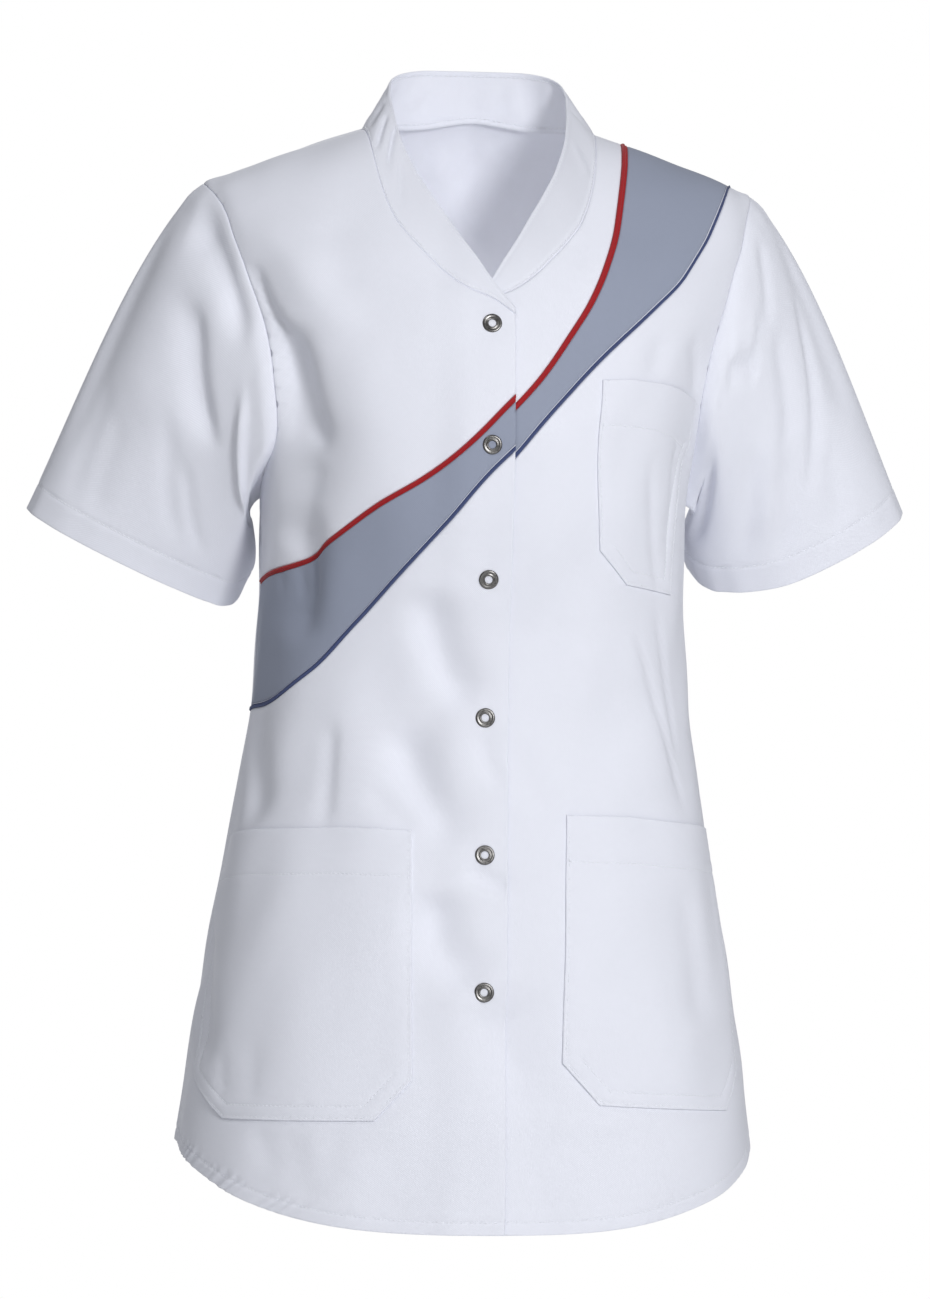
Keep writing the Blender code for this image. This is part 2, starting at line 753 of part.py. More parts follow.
def strip_faces(rows, columns, closed=False):
    """Faces of a grid of points, row after row."""
    faces = []
    for r in range(rows - 1):
        for c in range(columns if closed else columns - 1):
            after = (c + 1) % columns
            a = r * columns + c
            b = r * columns + after
            faces.append((a, b, b + columns))
            faces.append((a, b + columns, a + columns))
    return np.array(faces)


# ---------------------------------------------------------------- the pieces
def side_place(side, run):
    """Place on one side seam."""
    return (side * math.pi / 2 * FLAT_RADIUS, run)


def front_seams(side):
    """The band's two seams on one front, ending on its side or shoulder and its edge."""
    if side < 0:
        red = [flat(*place(x, z)) for x, z in RED_RIGHT]
        blue = [flat(*place(x, z)) for x, z in BLUE_RIGHT]
        red[0] = side_place(-1, red[0][1])
        blue[0] = side_place(-1, blue[0][1])
    else:
        red = [flat(*place(x, z)) for x, z in RED_LEFT]
        blue = [flat(*place(x, z)) for x, z in BLUE_LEFT]
        red[0] = shoulder_place(RED_LEFT[0][0])
        blue[0] = shoulder_place(BLUE_LEFT[0][0])
    return even_steps(red, BAND_FACET), even_steps(blue, BAND_FACET)


def beside(seam, distance, side, margin=0.0):
    """A line along one side of a band seam, as long as its front is wide there."""
    if side < 0:
        return trimmed(aside(seam, distance), 0, -math.pi / 2 * FLAT_RADIUS, LAP, margin)
    return trimmed(aside(seam, distance), 1, SHOULDER_RUN, -LAP, margin)


def make_right_front():
    """The wearer's right front, which laps over: upper part, band and lower part."""
    red, blue = front_seams(-1)
    neck = neck_curve(-1)
    tip = side_place(-1, SHOULDER_RUN)
    half = PIPING_WIDTH / 2
    above_red = beside(red, half, -1)
    below_red = beside(red, -half, -1)
    above_blue = beside(blue, half, -1)
    below_blue = beside(blue, -half, -1)
    upper = joined(
        neck[::-1],
        straight(neck[0], tip),
        armhole_curve(-1),
        straight(side_place(-1, UNDERARM_RUN), above_red[0]),
        above_red,
        edge_at_side(LAP, above_red[-1][1], neck[-1][1]))
    band = joined(
        below_red[::-1],
        straight(below_red[0], above_blue[0]),
        above_blue,
        edge_at_side(LAP, above_blue[-1][1], below_red[-1][1]))
    edge_hem = hem_run(angle_at(LAP, HEM_SIDE_RUN))
    hem = hem_curve(-math.pi / 2, float(angle_at(LAP, float(edge_hem))))
    lower = joined(
        below_blue[::-1],
        straight(below_blue[0], hem[0]),
        hem,
        edge_at_side(LAP, hem[-1][1], below_blue[-1][1]))
    pockets = [("pocket_right", POCKET_RIGHT)]
    panel("front_right_upper", upper, WHITE, lifted=True)
    panel("front_right_band", band, SLATE, lifted=True)
    panel("front_right_lower", lower, WHITE, lifted=True, pockets=pockets)
    piping("piping_red_right", red, -1, RED)
    piping("piping_blue_right", blue, -1, BLUE)


def make_left_front():
    """The wearer's left front, which laps under: upper part, band and lower part."""
    red, blue = front_seams(1)
    neck = neck_curve(1)
    tip = side_place(1, SHOULDER_RUN)
    half = PIPING_WIDTH / 2
    above_red = beside(red, -half, 1)
    below_red = beside(red, half, 1)
    above_blue = beside(blue, -half, 1)
    below_blue = beside(blue, half, 1)
    upper = joined(
        neck,
        edge_at_side(-LAP, neck[-1][1], above_red[-1][1]),
        above_red[::-1],
        straight(above_red[0], neck[0]))
    band = joined(
        below_red,
        edge_at_side(-LAP, below_red[-1][1], above_blue[-1][1]),
        above_blue[::-1],
        straight(above_blue[0], below_red[0]))
    edge_hem = hem_run(angle_at(-LAP, HEM_SIDE_RUN))
    hem = hem_curve(float(angle_at(-LAP, float(edge_hem))), math.pi / 2)
    lower = joined(
        below_blue,
        edge_at_side(-LAP, below_blue[-1][1], hem[0][1]),
        hem,
        straight(hem[-1], side_place(1, UNDERARM_RUN)),
        armhole_curve(1)[::-1],
        straight(tip, below_blue[0]))
    pockets = [("pocket_chest", POCKET_CHEST), ("pocket_left", POCKET_LEFT)]
    panel("front_left_upper", upper, WHITE)
    panel("front_left_band", band, SLATE)
    panel("front_left_lower", lower, WHITE, pockets=pockets)
    piping("piping_red_left", red, 1, RED)
    piping("piping_blue_left", blue, 1, BLUE)


def make_back():
    """The back, in one piece from side seam to side seam."""
    hem = hem_curve(math.pi * 1.5, math.pi / 2)
    left = armhole_curve(1, on_back=True)
    right = armhole_curve(-1, on_back=True)
    neck = neck_back_curve()
    outline = joined(
        neck,
        straight(neck[-1], (math.pi * 1.5 * FLAT_RADIUS, SHOULDER_RUN)),
        right,
        straight(right[-1], hem[0]),
        hem,
        straight(hem[-1], left[-1]),
        left[::-1],
        straight(left[0], neck[0]))
    panel("back", outline, WHITE)


def edge_beside(places, edge, seam):
    """Collar edge at every point of a neck seam, from its rows and their places."""
    rows = lengths_along(places)
    at = lengths_along(seam)
    at = at * rows[-1] / at[-1]
    return np.stack([smooth(rows, column, at) for column in np.array(edge).T], axis=1)


def collar_half(side):
    """Neck seam and collar edge, from the centre back to one front end."""
    back_rows = back_places()[::-1]
    back = neck_back_curve()
    back = back[:len(back) // 2 + 1][::-1]
    front_rows = neck_places(1)
    front = neck_curve(1)
    end = body(front[-1][0] / FLAT_RADIUS, front[-1][1], -CLOTH / 2) + (0.0, 0.0, COLLAR_END)
    shoulder = len(back_rows) - 1
    edge_back = edge_beside(back_rows, COLLAR_EDGE[:shoulder + 1], back)
    edge_front = edge_beside(front_rows, (*COLLAR_EDGE[shoulder:], end), front)
    places = np.vstack([back, front[1:]])
    seam = body(places[:, 0] / FLAT_RADIUS, places[:, 1], -CLOTH / 2)
    edge = np.vstack([edge_back, edge_front[1:]])
    share = np.where(np.arange(len(seam)) < len(back), 0.0, lap_share(-seam[:, 0]))
    step = (LAP_STEP if side < 0 else -COLLAR_SINK) * share[:, None]
    lift = normals(places[:, 0] / FLAT_RADIUS, places[:, 1]) * step
    return seam * (side, 1, 1), edge * (side, 1, 1), lift * (side, 1, 1)


def make_collar():
    """One strip round the neck, standing at the back and tapering down the front."""
    right = collar_half(-1)
    left = collar_half(1)
    seam, edge, lift = (np.vstack([a[::-1], b[1:]]) for a, b in zip(right, left))
    up = edge - seam
    foot = seam + unit(up) * COLLAR_FOOT
    out = unit(np.cross(up, np.gradient(seam, axis=0)))
    out = out * np.sign(out[len(seam) // 2][1])
    outer = []
    inner = []
    for row in range(COLLAR_ROWS + 1):
        line = foot + (edge - foot) * row / COLLAR_ROWS + lift
        outer.append(line + out * DOUBLE_CLOTH / 2)
        inner.append(line - out * DOUBLE_CLOTH / 2)
    faces = strip_faces(COLLAR_ROWS + 1, len(seam))
    solid("collar", np.concatenate(outer), np.concatenate(inner), faces, WHITE)


def make_sleeve(name, side):
    """A set-in sleeve from the armhole seam to its cuff."""
    front = armhole_curve(side)
    back = armhole_curve(side, on_back=True)
    loop = np.vstack([front, back[-2:0:-1]])
    start = body(loop[:, 0] / FLAT_RADIUS, loop[:, 1], -CLOTH / 2) * (side, 1, 1)
    turns = np.arange(SLEEVE_STEPS) * 360.0 / SLEEVE_STEPS
    head = {key: [row[i] for row in SLEEVE_HEAD] for i, key in enumerate(HEAD_COLUMNS)}
    leave = np.stack([smooth(head["turn"], head[key], turns) for key in ("out", "back", "up")],
                     axis=1)
    leave = unit(leave)
    reach = smooth(head["turn"], head["reach"], turns)[:, None]
    axis = unit(SLEEVE_AXIS)
    wide = unit(np.cross(np.cross(axis, (1.0, 0.0, 0.0)), axis))
    deep = np.cross(axis, wide)
    deep = deep * -np.sign(deep[1])
    angle = np.radians(turns)[:, None]
    rise_knots, *rises = np.array(CUFF_RISE).T
    rise = smooth(rise_knots, rises[0] if side < 0 else rises[1], turns)[:, None]
    end = (np.array(CUFF_CENTRE) + wide * CUFF_HALF_WIDTH * np.cos(angle)
           + deep * CUFF_HALF_DEPTH * np.sin(angle) + rise * (0.0, 0.0, 1.0))
    start = start + leave * SLEEVE_FOOT
    rows = []
    for s in np.linspace(0.0, 1.0, SLEEVE_ROWS):
        from_start = (1 + 2 * s) * (1 - s) ** 2 * start + s * (1 - s) ** 2 * leave * reach
        to_end = s * s * (3 - 2 * s) * end + s * s * (s - 1) * axis * CUFF_REACH
        rows.append(from_start + to_end)
    grid = np.stack(rows)
    around = np.roll(grid, -1, axis=1) - np.roll(grid, 1, axis=1)
    down = np.gradient(grid, axis=0)
    out = unit(np.cross(down, around))
    centre = grid.mean(axis=1, keepdims=True)
    out = out * np.sign(np.sum(out * (grid - centre)))
    outer = (grid + out * CLOTH / 2).reshape(-1, 3) * (side, 1, 1)
    inner = (grid - out * CLOTH / 2).reshape(-1, 3) * (side, 1, 1)
    faces = strip_faces(SLEEVE_ROWS, SLEEVE_STEPS, closed=True)
    solid(name, outer, inner, faces, WHITE)


def make_snap(name, height):
    """An open ring snap, pressed flat on the outer lap at the centre front."""
    angle, run = place(0.0, height)
    centre = body(angle, run, LAP_STEP + SNAP_SEAT)
    out = normals(np.array(angle), np.array(run))
    turn = Vector((0.0, 0.0, 1.0)).rotation_difference(Vector(out)).to_matrix()
    bm = bmesh.new()
    loops = []
    for share, rise in SNAP_SECTION:
        radius = SNAP_HOLE + (SNAP_RADIUS - SNAP_HOLE) * share
        loop = []
        for i in range(SNAP_STEPS):
            around = 2 * math.pi * i / SNAP_STEPS
            point = (radius * math.cos(around), radius * math.sin(around), SNAP_HEIGHT * rise)
            loop.append(bm.verts.new(Vector(centre) + turn @ Vector(point)))
        loops.append(loop)
    for lower, upper in zip(loops, loops[1:] + loops[:1]):
        for i in range(SNAP_STEPS):
            after = (i + 1) % SNAP_STEPS
            bm.faces.new([lower[i], lower[after], upper[after], upper[i]])
    add_object(name, bm, finish(name, NICKEL, 1.0, NICKEL_ROUGHNESS))


def main():
    for item in list(bpy.data.objects):
        bpy.data.objects.remove(item, do_unlink=True)
    make_back()
    make_right_front()
    make_left_front()
    make_collar()
    make_sleeve("sleeve_right", -1)
    make_sleeve("sleeve_left", 1)
    for number, height in enumerate(SNAP_HEIGHTS, start=1):
        make_snap(f"snap_{number}", height)


main()
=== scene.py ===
"""Look of a short-sleeved work tunic: fine cloth, sewing, ring snaps, light and camera.

Metres, +Z up, +X to the wearer's left, the front faces -Y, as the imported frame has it.
The body is one smooth form. A place on it is an angle round the body and a run up the
cloth, and unrolled they are a point in a plane, in metres. Each piece of cloth is an
outline in that plane, filled with fine triangles. Folds, creases and sewing move it along
the form's normals, so that the pieces stay on each other as they are sewn.
"""
import math

import bpy
import numpy as np
from mathutils import Matrix, Vector
from mathutils.geometry import delaunay_2d_cdt
from mathutils.kdtree import KDTree


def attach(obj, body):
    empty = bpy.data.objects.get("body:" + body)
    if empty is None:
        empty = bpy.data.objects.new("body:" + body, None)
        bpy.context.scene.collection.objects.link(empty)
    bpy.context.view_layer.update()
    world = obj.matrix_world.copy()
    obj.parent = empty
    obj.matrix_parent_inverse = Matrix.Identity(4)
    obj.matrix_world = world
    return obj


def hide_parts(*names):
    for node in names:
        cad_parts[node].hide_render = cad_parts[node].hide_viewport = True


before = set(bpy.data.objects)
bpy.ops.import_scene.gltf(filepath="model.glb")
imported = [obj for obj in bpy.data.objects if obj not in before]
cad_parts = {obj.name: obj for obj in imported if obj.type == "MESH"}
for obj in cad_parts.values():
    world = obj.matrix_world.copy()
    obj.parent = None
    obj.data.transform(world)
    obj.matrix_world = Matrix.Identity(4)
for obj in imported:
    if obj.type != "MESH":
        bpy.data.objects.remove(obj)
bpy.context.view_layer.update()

# ---------------------------------------------------------------- sizes of the solids
MM = 0.001
CLOTH = 0.0012            # wall of the solids
SEAM_GAP = 0.0003
LAP_GAP = 0.0009
LAP_STEP = CLOTH + LAP_GAP
SQUARENESS = 2.35         # 2 is an ellipse, more is squarer
FORM_STEP = 0.0004        # the form's directions are read this far to each side
SHOULDER_BEND = 1.3       # how the shoulder line falls from the neck to its tip
FLAT_RADIUS = 0.135       # radius that turns the angle round the body into a length
TURN = 2 * math.pi * FLAT_RADIUS
QUARTER = math.pi / 2 * FLAT_RADIUS

LAP = 0.0145              # front edges reach this far past the centre front
LAP_BLEND = 0.022         # width over which the outer lap rises over the inner one
RED_WIDTH = 0.0031        # what shows of the red piping
BLUE_WIDTH = 0.0027       # and of the blue one, with its white edge
PIPING_FADE = 0.01        # the piping sinks over this width before it goes under the lap
SHOULDER_RUN = 0.036      # the shoulder seam
SHOULDER_RIDGE = 0.003    # the form is rounded this far to each side of the shoulder seam
UNDERARM_RUN = -0.24

SNAP_RADIUS = 0.0061
SNAP_HOLE = 0.0025
SNAP_HEIGHTS = (-0.133, -0.209, -0.2925, -0.3795, -0.465, -0.55)
COLLAR_END = 0.0045       # width of the collar at its front ends
COLLAR_SINK = 0.0009      # its inner end lies this much deeper under the lap

# Rings up the body. run: length up the cloth; height: level of the ring at the centre
# front; half_width, front, back: reach to the side, the front and the back; drop: fall
# of the ring from the middle to its side; back_rise: extra height in the middle of the back.
RING_COLUMNS = ("run", "height", "half_width", "front", "back", "drop", "back_rise")
RINGS = (
    (-0.75, -0.75, 0.1935, 0.152, 0.144, 0.0, 0.0),
    (-0.664, -0.664, 0.187, 0.147, 0.139, 0.0, 0.0),
    (-0.6, -0.6, 0.179, 0.142, 0.134, 0.0, 0.0),
    (-0.54, -0.54, 0.1695, 0.137, 0.129, 0.0, 0.0),
    (-0.48, -0.48, 0.159, 0.13, 0.122, 0.0, 0.0),
    (-0.42, -0.42, 0.149, 0.121, 0.111, 0.0, 0.0),
    (-0.37, -0.37, 0.1415, 0.115, 0.103, 0.0, 0.0),
    (-0.33, -0.33, 0.1385, 0.117, 0.101, 0.0, 0.0),
    (-0.29, -0.29, 0.137, 0.125, 0.103, 0.0, 0.0),
    (-0.24, -0.24, 0.1385, 0.134, 0.109, 0.0, 0.0),
    (-0.205, -0.205, 0.143, 0.135, 0.112, 0.0, 0.0),
    (-0.175, -0.175, 0.153, 0.131, 0.113, 0.0, 0.0),
    (-0.13, -0.13, 0.166, 0.121, 0.112, 0.0, 0.002),
    (-0.096, -0.096, 0.175, 0.108, 0.107, 0.0, 0.006),
    (-0.065, -0.065, 0.18, 0.091, 0.095, 0.006, 0.012),
    (-0.041, -0.036, 0.1805, 0.074, 0.08, 0.019, 0.02),
    (-0.018, -0.013, 0.18, 0.056, 0.062, 0.032, 0.021),
    (0.0015, 0.004, 0.179, 0.037, 0.04, 0.044, 0.015),
    (0.019, 0.014, 0.178, 0.019, 0.02, 0.052, 0.007),
    (0.036, 0.0185, 0.177, 0.0, 0.0, 0.0565, 0.0),
)

# Neck seam from the shoulder seam down the front and past the centre (side, height).
NECK_FRONT = (
    (0.068, -0.04),
    (0.06, -0.0635),
    (0.048, -0.08),
    (0.0395, -0.089),
    (0.0285, -0.1),
    (0.015, -0.11),
    (0.0, -0.1165),
    (-LAP, -0.127),
)
NECK_SIDE = 0.076         # half the neck's width at the shoulder seams
# Neck seam from the shoulder seam to the centre back (side, run).
NECK_BACK = (
    (0.074, 0.022),
    (0.061, 0.004),
    (0.036, -0.008),
    (0.0, -0.012),
)
# Collar's free edge, a row for each row of the neck seam, from the centre back round
# to the front end (side, depth, height). The last row is worked out from the seam.
COLLAR_EDGE = (
    (0.0, 0.052, 0.045),
    (0.029, 0.049, 0.0445),
    (0.048, 0.037, 0.0405),
    (0.056, 0.022, 0.033),
    (0.0575, 0.006, 0.024),
    (0.0535, -0.031, -0.006),
    (0.0455, -0.052, -0.029),
    (0.0345, -0.07, -0.049),
    (0.0265, -0.08, -0.062),
    (0.018, -0.0925, -0.076),
    (0.008, -0.1025, -0.091),
    (0.0, -0.1108, -0.104),
)
# Armhole seam from the shoulder tip to the underarm (side, height), front and back.
ARMHOLE_FRONT = (
    (0.166, -0.068),
    (0.1555, -0.102),
    (0.1465, -0.134),
    (0.1395, -0.172),
    (0.1365, -0.206),
)
ARMHOLE_SHIFT = 0.004     # as worn, both armholes sit this far to the wearer's left
ARMHOLE_BACK = (
    (0.168, -0.072),
    (0.16, -0.11),
    (0.151, -0.152),
    (0.143, -0.192),
    (0.138, -0.22),
)

# Red and blue seams of the band on each front (side, height), from the side or the
# shoulder seam to the front edge.
RED_RIGHT = (
    (-0.1366, -0.295),
    (-0.1174, -0.2831),
    (-0.099, -0.27),
    (-0.0697, -0.2475),
    (-0.0419, -0.2305),
    (-0.025, -0.218),
    (-0.0071, -0.2018),
    (LAP, -0.1795),
)
BLUE_RIGHT = (
    (-0.142, -0.3775),
    (-0.1331, -0.371),
    (-0.109, -0.3515),
    (-0.0817, -0.3205),
    (-0.0545, -0.2885),
    (-0.0271, -0.2572),
    (-0.0022, -0.2272),
    (LAP, -0.2105),
)
RED_LEFT = (
    (0.0949, -0.007),
    (0.0908, -0.0235),
    (0.0836, -0.0612),
    (0.0749, -0.0914),
    (0.0637, -0.117),
    (0.05, -0.139),
    (0.0325, -0.1645),
    (LAP, -0.185),
    (-LAP, -0.213),
)
BLUE_LEFT = (
    (0.1655, -0.034),
    (0.1521, -0.0528),
    (0.1393, -0.0773),
    (0.1254, -0.0985),
    (0.1059, -0.1185),
    (0.0718, -0.1506),
    (0.0427, -0.1819),
    (LAP, -0.2155),
    (-LAP, -0.25),
)

HEM_SIDE_RUN = -0.657
HEM_FRONT_DROP = 0.043    # the hem hangs this much lower at the centre front
HEM_BACK_DROP = 0.038
HEM_CURVE = 3.2           # the larger, the flatter the hem between its rounded sides

# Pocket outlines, corners in order (side, height).
POCKET_RIGHT = (
    (-0.1546, -0.459),
    (-0.1407, -0.453),
    (-0.0894, -0.449),
    (-0.0453, -0.45),
    (-0.044, -0.6045),
    (-0.0673, -0.6303),
    (-0.159, -0.6345),
    (-0.1755, -0.612),
    (-0.1674, -0.529),
)
POCKET_LEFT = (
    (0.0516, -0.4395),
    (0.0925, -0.4407),
    (0.121, -0.4442),
    (0.151, -0.45),
    (0.17, -0.603),
    (0.16, -0.6275),
    (0.074, -0.62),
    (0.0495, -0.5935),
)
POCKET_CHEST = (
    (0.07, -0.1665),
    (0.0883, -0.1657),
    (0.111, -0.167),
    (0.1261, -0.1703),
    (0.139, -0.1765),
    (0.135, -0.204),
    (0.13, -0.215),
    (0.124, -0.244),
    (0.1205, -0.3),
    (0.0892, -0.2945),
    (0.0707, -0.2735),
)
# Sleeve: the cuff is an ellipse, and the cloth runs to it from the armhole seam.
CUFF_CENTRE = (0.2185, 0.042, -0.279)
CUFF_HALF_WIDTH = 0.077
CUFF_HALF_DEPTH = 0.046
SLEEVE_AXIS = (0.425, 0.2, -0.883)
# How the cloth leaves the armhole (out, back, up) and how far that carries it.
HEAD_COLUMNS = ("turn", "out", "back", "up", "reach")
SLEEVE_HEAD = (
    (0.0, 0.8, 0.05, -0.6, 0.15),
    (90.0, 0.62, -0.25, -0.74, 0.12),
    (180.0, 0.9, 0.02, -0.42, 0.066),
    (215.0, 0.9, 0.12, -0.42, 0.08),
    (270.0, 0.66, 0.35, -0.66, 0.12),
    (360.0, 0.8, 0.05, -0.6, 0.15),
)
CUFF_REACH = 0.12
# How much higher than the ellipse each cuff is at these turns.
CUFF_RISE_COLUMNS = ("turn", "right", "left")
CUFF_RISE = (
    (0.0, -0.002, 0.006),
    (90.0, 0.0, 0.002),
    (140.0, 0.0, 0.014),
    (180.0, 0.008, 0.03),
    (220.0, 0.004, 0.014),
    (270.0, 0.0, 0.004),
    (360.0, -0.002, 0.006),
)
# Largest soft folds of the body: from and to (angle in degrees, run), width and depth.
# Angles past 90 degrees lie on the back, and those past 180 on its right half.
# A positive depth is a trough, a negative one a ridge.
FOLD_COLUMNS = ("angle_a", "run_a", "angle_b", "run_b", "width", "depth")
FOLDS = (
    (-62.0, -0.095, -47.0, -0.19, 0.02, 0.0035),
    (-44.0, -0.15, -50.0, -0.26, 0.026, 0.004),
    (-34.0, -0.33, -16.0, -0.44, 0.03, 0.0035),
    (-50.0, -0.37, -36.0, -0.47, 0.028, 0.003),
    (52.0, -0.12, 60.0, -0.235, 0.022, 0.003),
    (40.0, -0.35, 30.0, -0.45, 0.03, 0.0025),
    (128.0, -0.11, 140.0, -0.26, 0.03, 0.004),
    (232.0, -0.12, 220.0, -0.25, 0.03, 0.004),
    (158.0, -0.33, 172.0, -0.45, 0.034, 0.004),
    (210.0, -0.35, 194.0, -0.48, 0.034, 0.0035),
)

# ---------------------------------------------------------------- sizes of the sewing
SHELL = 0.0005            # one layer of cloth
GRID = 0.0042             # usual distance between points inside a piece
STEP = 0.0038             # and along its edges
HAIR = 0.00006            # pieces stay this far from each other at a seam
ROLL = 0.0011             # an edge turns in at a seam with this radius
ROLL_ROWS = (0.00015, 0.0005, 0.0011, 0.0026)
HEM = 0.008               # depth of the hem
CUFF_HEM = 0.018          # depth of the sleeve's hem
HEM_THICKNESS = 0.0008    # what the folds of a hem add
HEM_ROWS = (0.0013, 0.0026, 0.0039, 0.0052)
HEM_STEP = 0.0013         # between the points along it
HEM_WAVE = 0.0066         # length and slant of the ripples of the hem
HEM_SLANT = 0.9
HEM_RIPPLE_REACH = 0.01   # they end this far from its edge, over the fade
HEM_RIPPLE_FADE = 0.006
# Height of the ripples at places across the unrolled body.
HEM_RIPPLE_PLACES = (-0.32, -0.21, -0.13, -0.07, 0.0, 0.12, 0.21, 0.32, 0.42, 0.55)
HEM_RIPPLES = (0.0003, 0.0005, 0.0007, 0.0003, 0.0001, 0.0001, 0.0002, 0.0003, 0.0003, 0.0003)
LAP_THICKNESS = 0.0009    # what the facing adds along the outer front's edge
GROOVE = 0.00042          # a row of stitches pulls the cloth in this much
GROOVE_WIDTH = 0.0009
GROOVE_ROWS = (-0.002, -0.0009, 0.0, 0.0009, 0.002)
STITCH = 0.003            # from one stitch to the next
STITCH_LENGTH = 0.0023
THREAD = 0.00024          # half the width of the thread
# Cross-sections of a stitch: share of its half length, and share of its half width.
STITCH_STATIONS = ((-1.0, 0.0), (-0.62, 1.0), (0.62, 1.0), (1.0, 0.0))
STITCH_SECTION = ((1.0, 0.0), (0.0, 0.8), (-1.0, 0.0), (0.0, -0.8))
STITCH_RISE = 0.35        # its middle lies this share of the thread over the cloth
STITCH_DIP = 0.9          # and its ends dip this share below its middle
CURVE_STEPS = 400         # points on a smooth curve before they are spaced evenly
PLACE_STEPS = 50          # halvings that find a place by its height
SAME_POINT = 0.0003       # points nearer than this are one
GRID_MARGIN = 0.55        # share of the grid that stays free round the points of a row
LINE_REACH = 0.03         # distances to a line are worked out this near to it
STEP_WIDTH = 0.0012       # width of the soft step at a hem
AHEAD = 0.0004            # how far ahead the direction of a row of stitches is read
EDGE_ROLL = 0.0006        # a folded edge is rounded with this radius
EDGE_SHARE = 0.42         # and by this share of its thickness at most
MITRE_LIMIT = 0.4         # the less, the longer a corner of a moved outline may get
SHOULDER_FADE = 0.03      # creases end this far from the shoulder seam
ARMHOLE_SKIP = 6          # every so many points of an armhole seam make its coarse line
ARMHOLE_FADE = 0.012      # creases end this far from the front armholes
CREASE_FULL = 1.3         # more makes the ends of the creases shorter
CREASE_POINTS = 11        # points on the line of a crease
CREASE_REACH = 4          # a crease ends this many half widths from its line
SNAP_DIMPLE = 0.0005      # a snap pulls the cloth in this much
SNAP_PULL = 0.011         # and this far round itself
SNAP_STAR = SNAP_DIMPLE * 0.45
SNAP_STAR_WIDTH = SNAP_PULL * 0.8

# Creases, in millimetres: both ends by side and height on one face of the body, how far the
# middle is bent to the left, half width and depth. A positive depth is a trough, a negative
# one a ridge. A positive lean makes the left side the soft one.
CREASE_COLUMNS = ("across_a", "up_a", "across_b", "up_b", "bend", "width", "depth", "lean")
FRONT_CREASES = (
    (-151, -92, -129, -143, -3, 6, 6.2, 0.2),
    (-128, -127, -109, -221, -3, 20, 12, -0.38),
    (-114, -207, -123, -282, 3, 19, 4, -0.3),
    (-145, -60, -81, -150, -2, 14, -3, 0),
    (-142, -248, -139, -276, 0, 7, 1.6, 0),
    (-115, -245, -116, -339, 2, 21, 7.6, -0.3),
    (-120, -284, -117, -306, 0, 2.8, 1.3, 0),
    (-112, -280, -109, -311, 1, 3.5, 1.6, 0.2),
    (-128, -286, -127, -304, 0, 2.6, 1, 0),
    (-40, -296, -5, -378, -6, 13, 7.6, 0.12),
    (-5, -386, 11, -426, -2, 6.5, 2.8, 0.3),
    (-56, -380, -11, -462, -5, 13, 7.8, 0.12),
    (-13, -474, 16, -486, -1, 5.5, 3.6, 0.2),
    (-29, -484, -1, -550, -9, 12.5, 8.2, 0.12),
    (-2, -559, 14, -605, 2, 9, 2.6, 0.2),
    (13, -390, 40, -444, 0, 8.5, 2, 0.2),
    (14, -540, 33, -640, -4, 15, 5.4, 0.2),
    (28, -621, 37, -706, 0, 13, 4.2, 0.2),
    (-96, -379, -100, -454, 1, 5.6, 2.6, -0.3),
    (-140, -370, -141, -456, 3, 16.5, 6.2, 0.1),
    (-75, -424, -41, -454, 1, 7, 2, 0),
    (-166, -505, -170, -606, 3, 14, 6, 0),
    (-159, -590, -159, -626, 0, 4.5, 1, 0),
    (-141, -583, -141, -626, 0, 5, 0.7, 0),
    (-140, -635, -128, -666, 0, 6, 1.2, 0),
    (-120, -636, -104, -686, 0, 8.5, 1.4, 0),
    (-92, -633, -94, -673, 0, 6, 1, 0),
    (92, -312, 135, -445, 4, 3.2, 1.9, 0.3),
    (109, -301, 130, -413, 4, 3, 1.6, 0.3),
    (103, -209, 113, -306, -2, 3.2, 1.8, 0.2),
    (126, -194, 114, -282, 2, 4.5, 2, 0.3),
    (103, -166, 113, -135, 1, 7, 1.8, 0),
    (132, -134, 141, -173, 0, 6, 2.2, 0),
    (44, -230, 55, -317, 4, 12, 1.4, 0),
    (53, -73, 58, -97, 0, 4.5, 1.3, 0),
    (-34, -56, -25, -118, 3, 11, 1.2, 0),
    (-102, -63, -94, -119, 3, 11, 1.4, 0),
    (129, -479, 141, -579, 3, 10, 2.2, 0),
    (75, -630, 84, -696, 2, 14, 1.8, 0),
    (-62, -635, -57, -698, 2, 13, 1.6, 0),
)
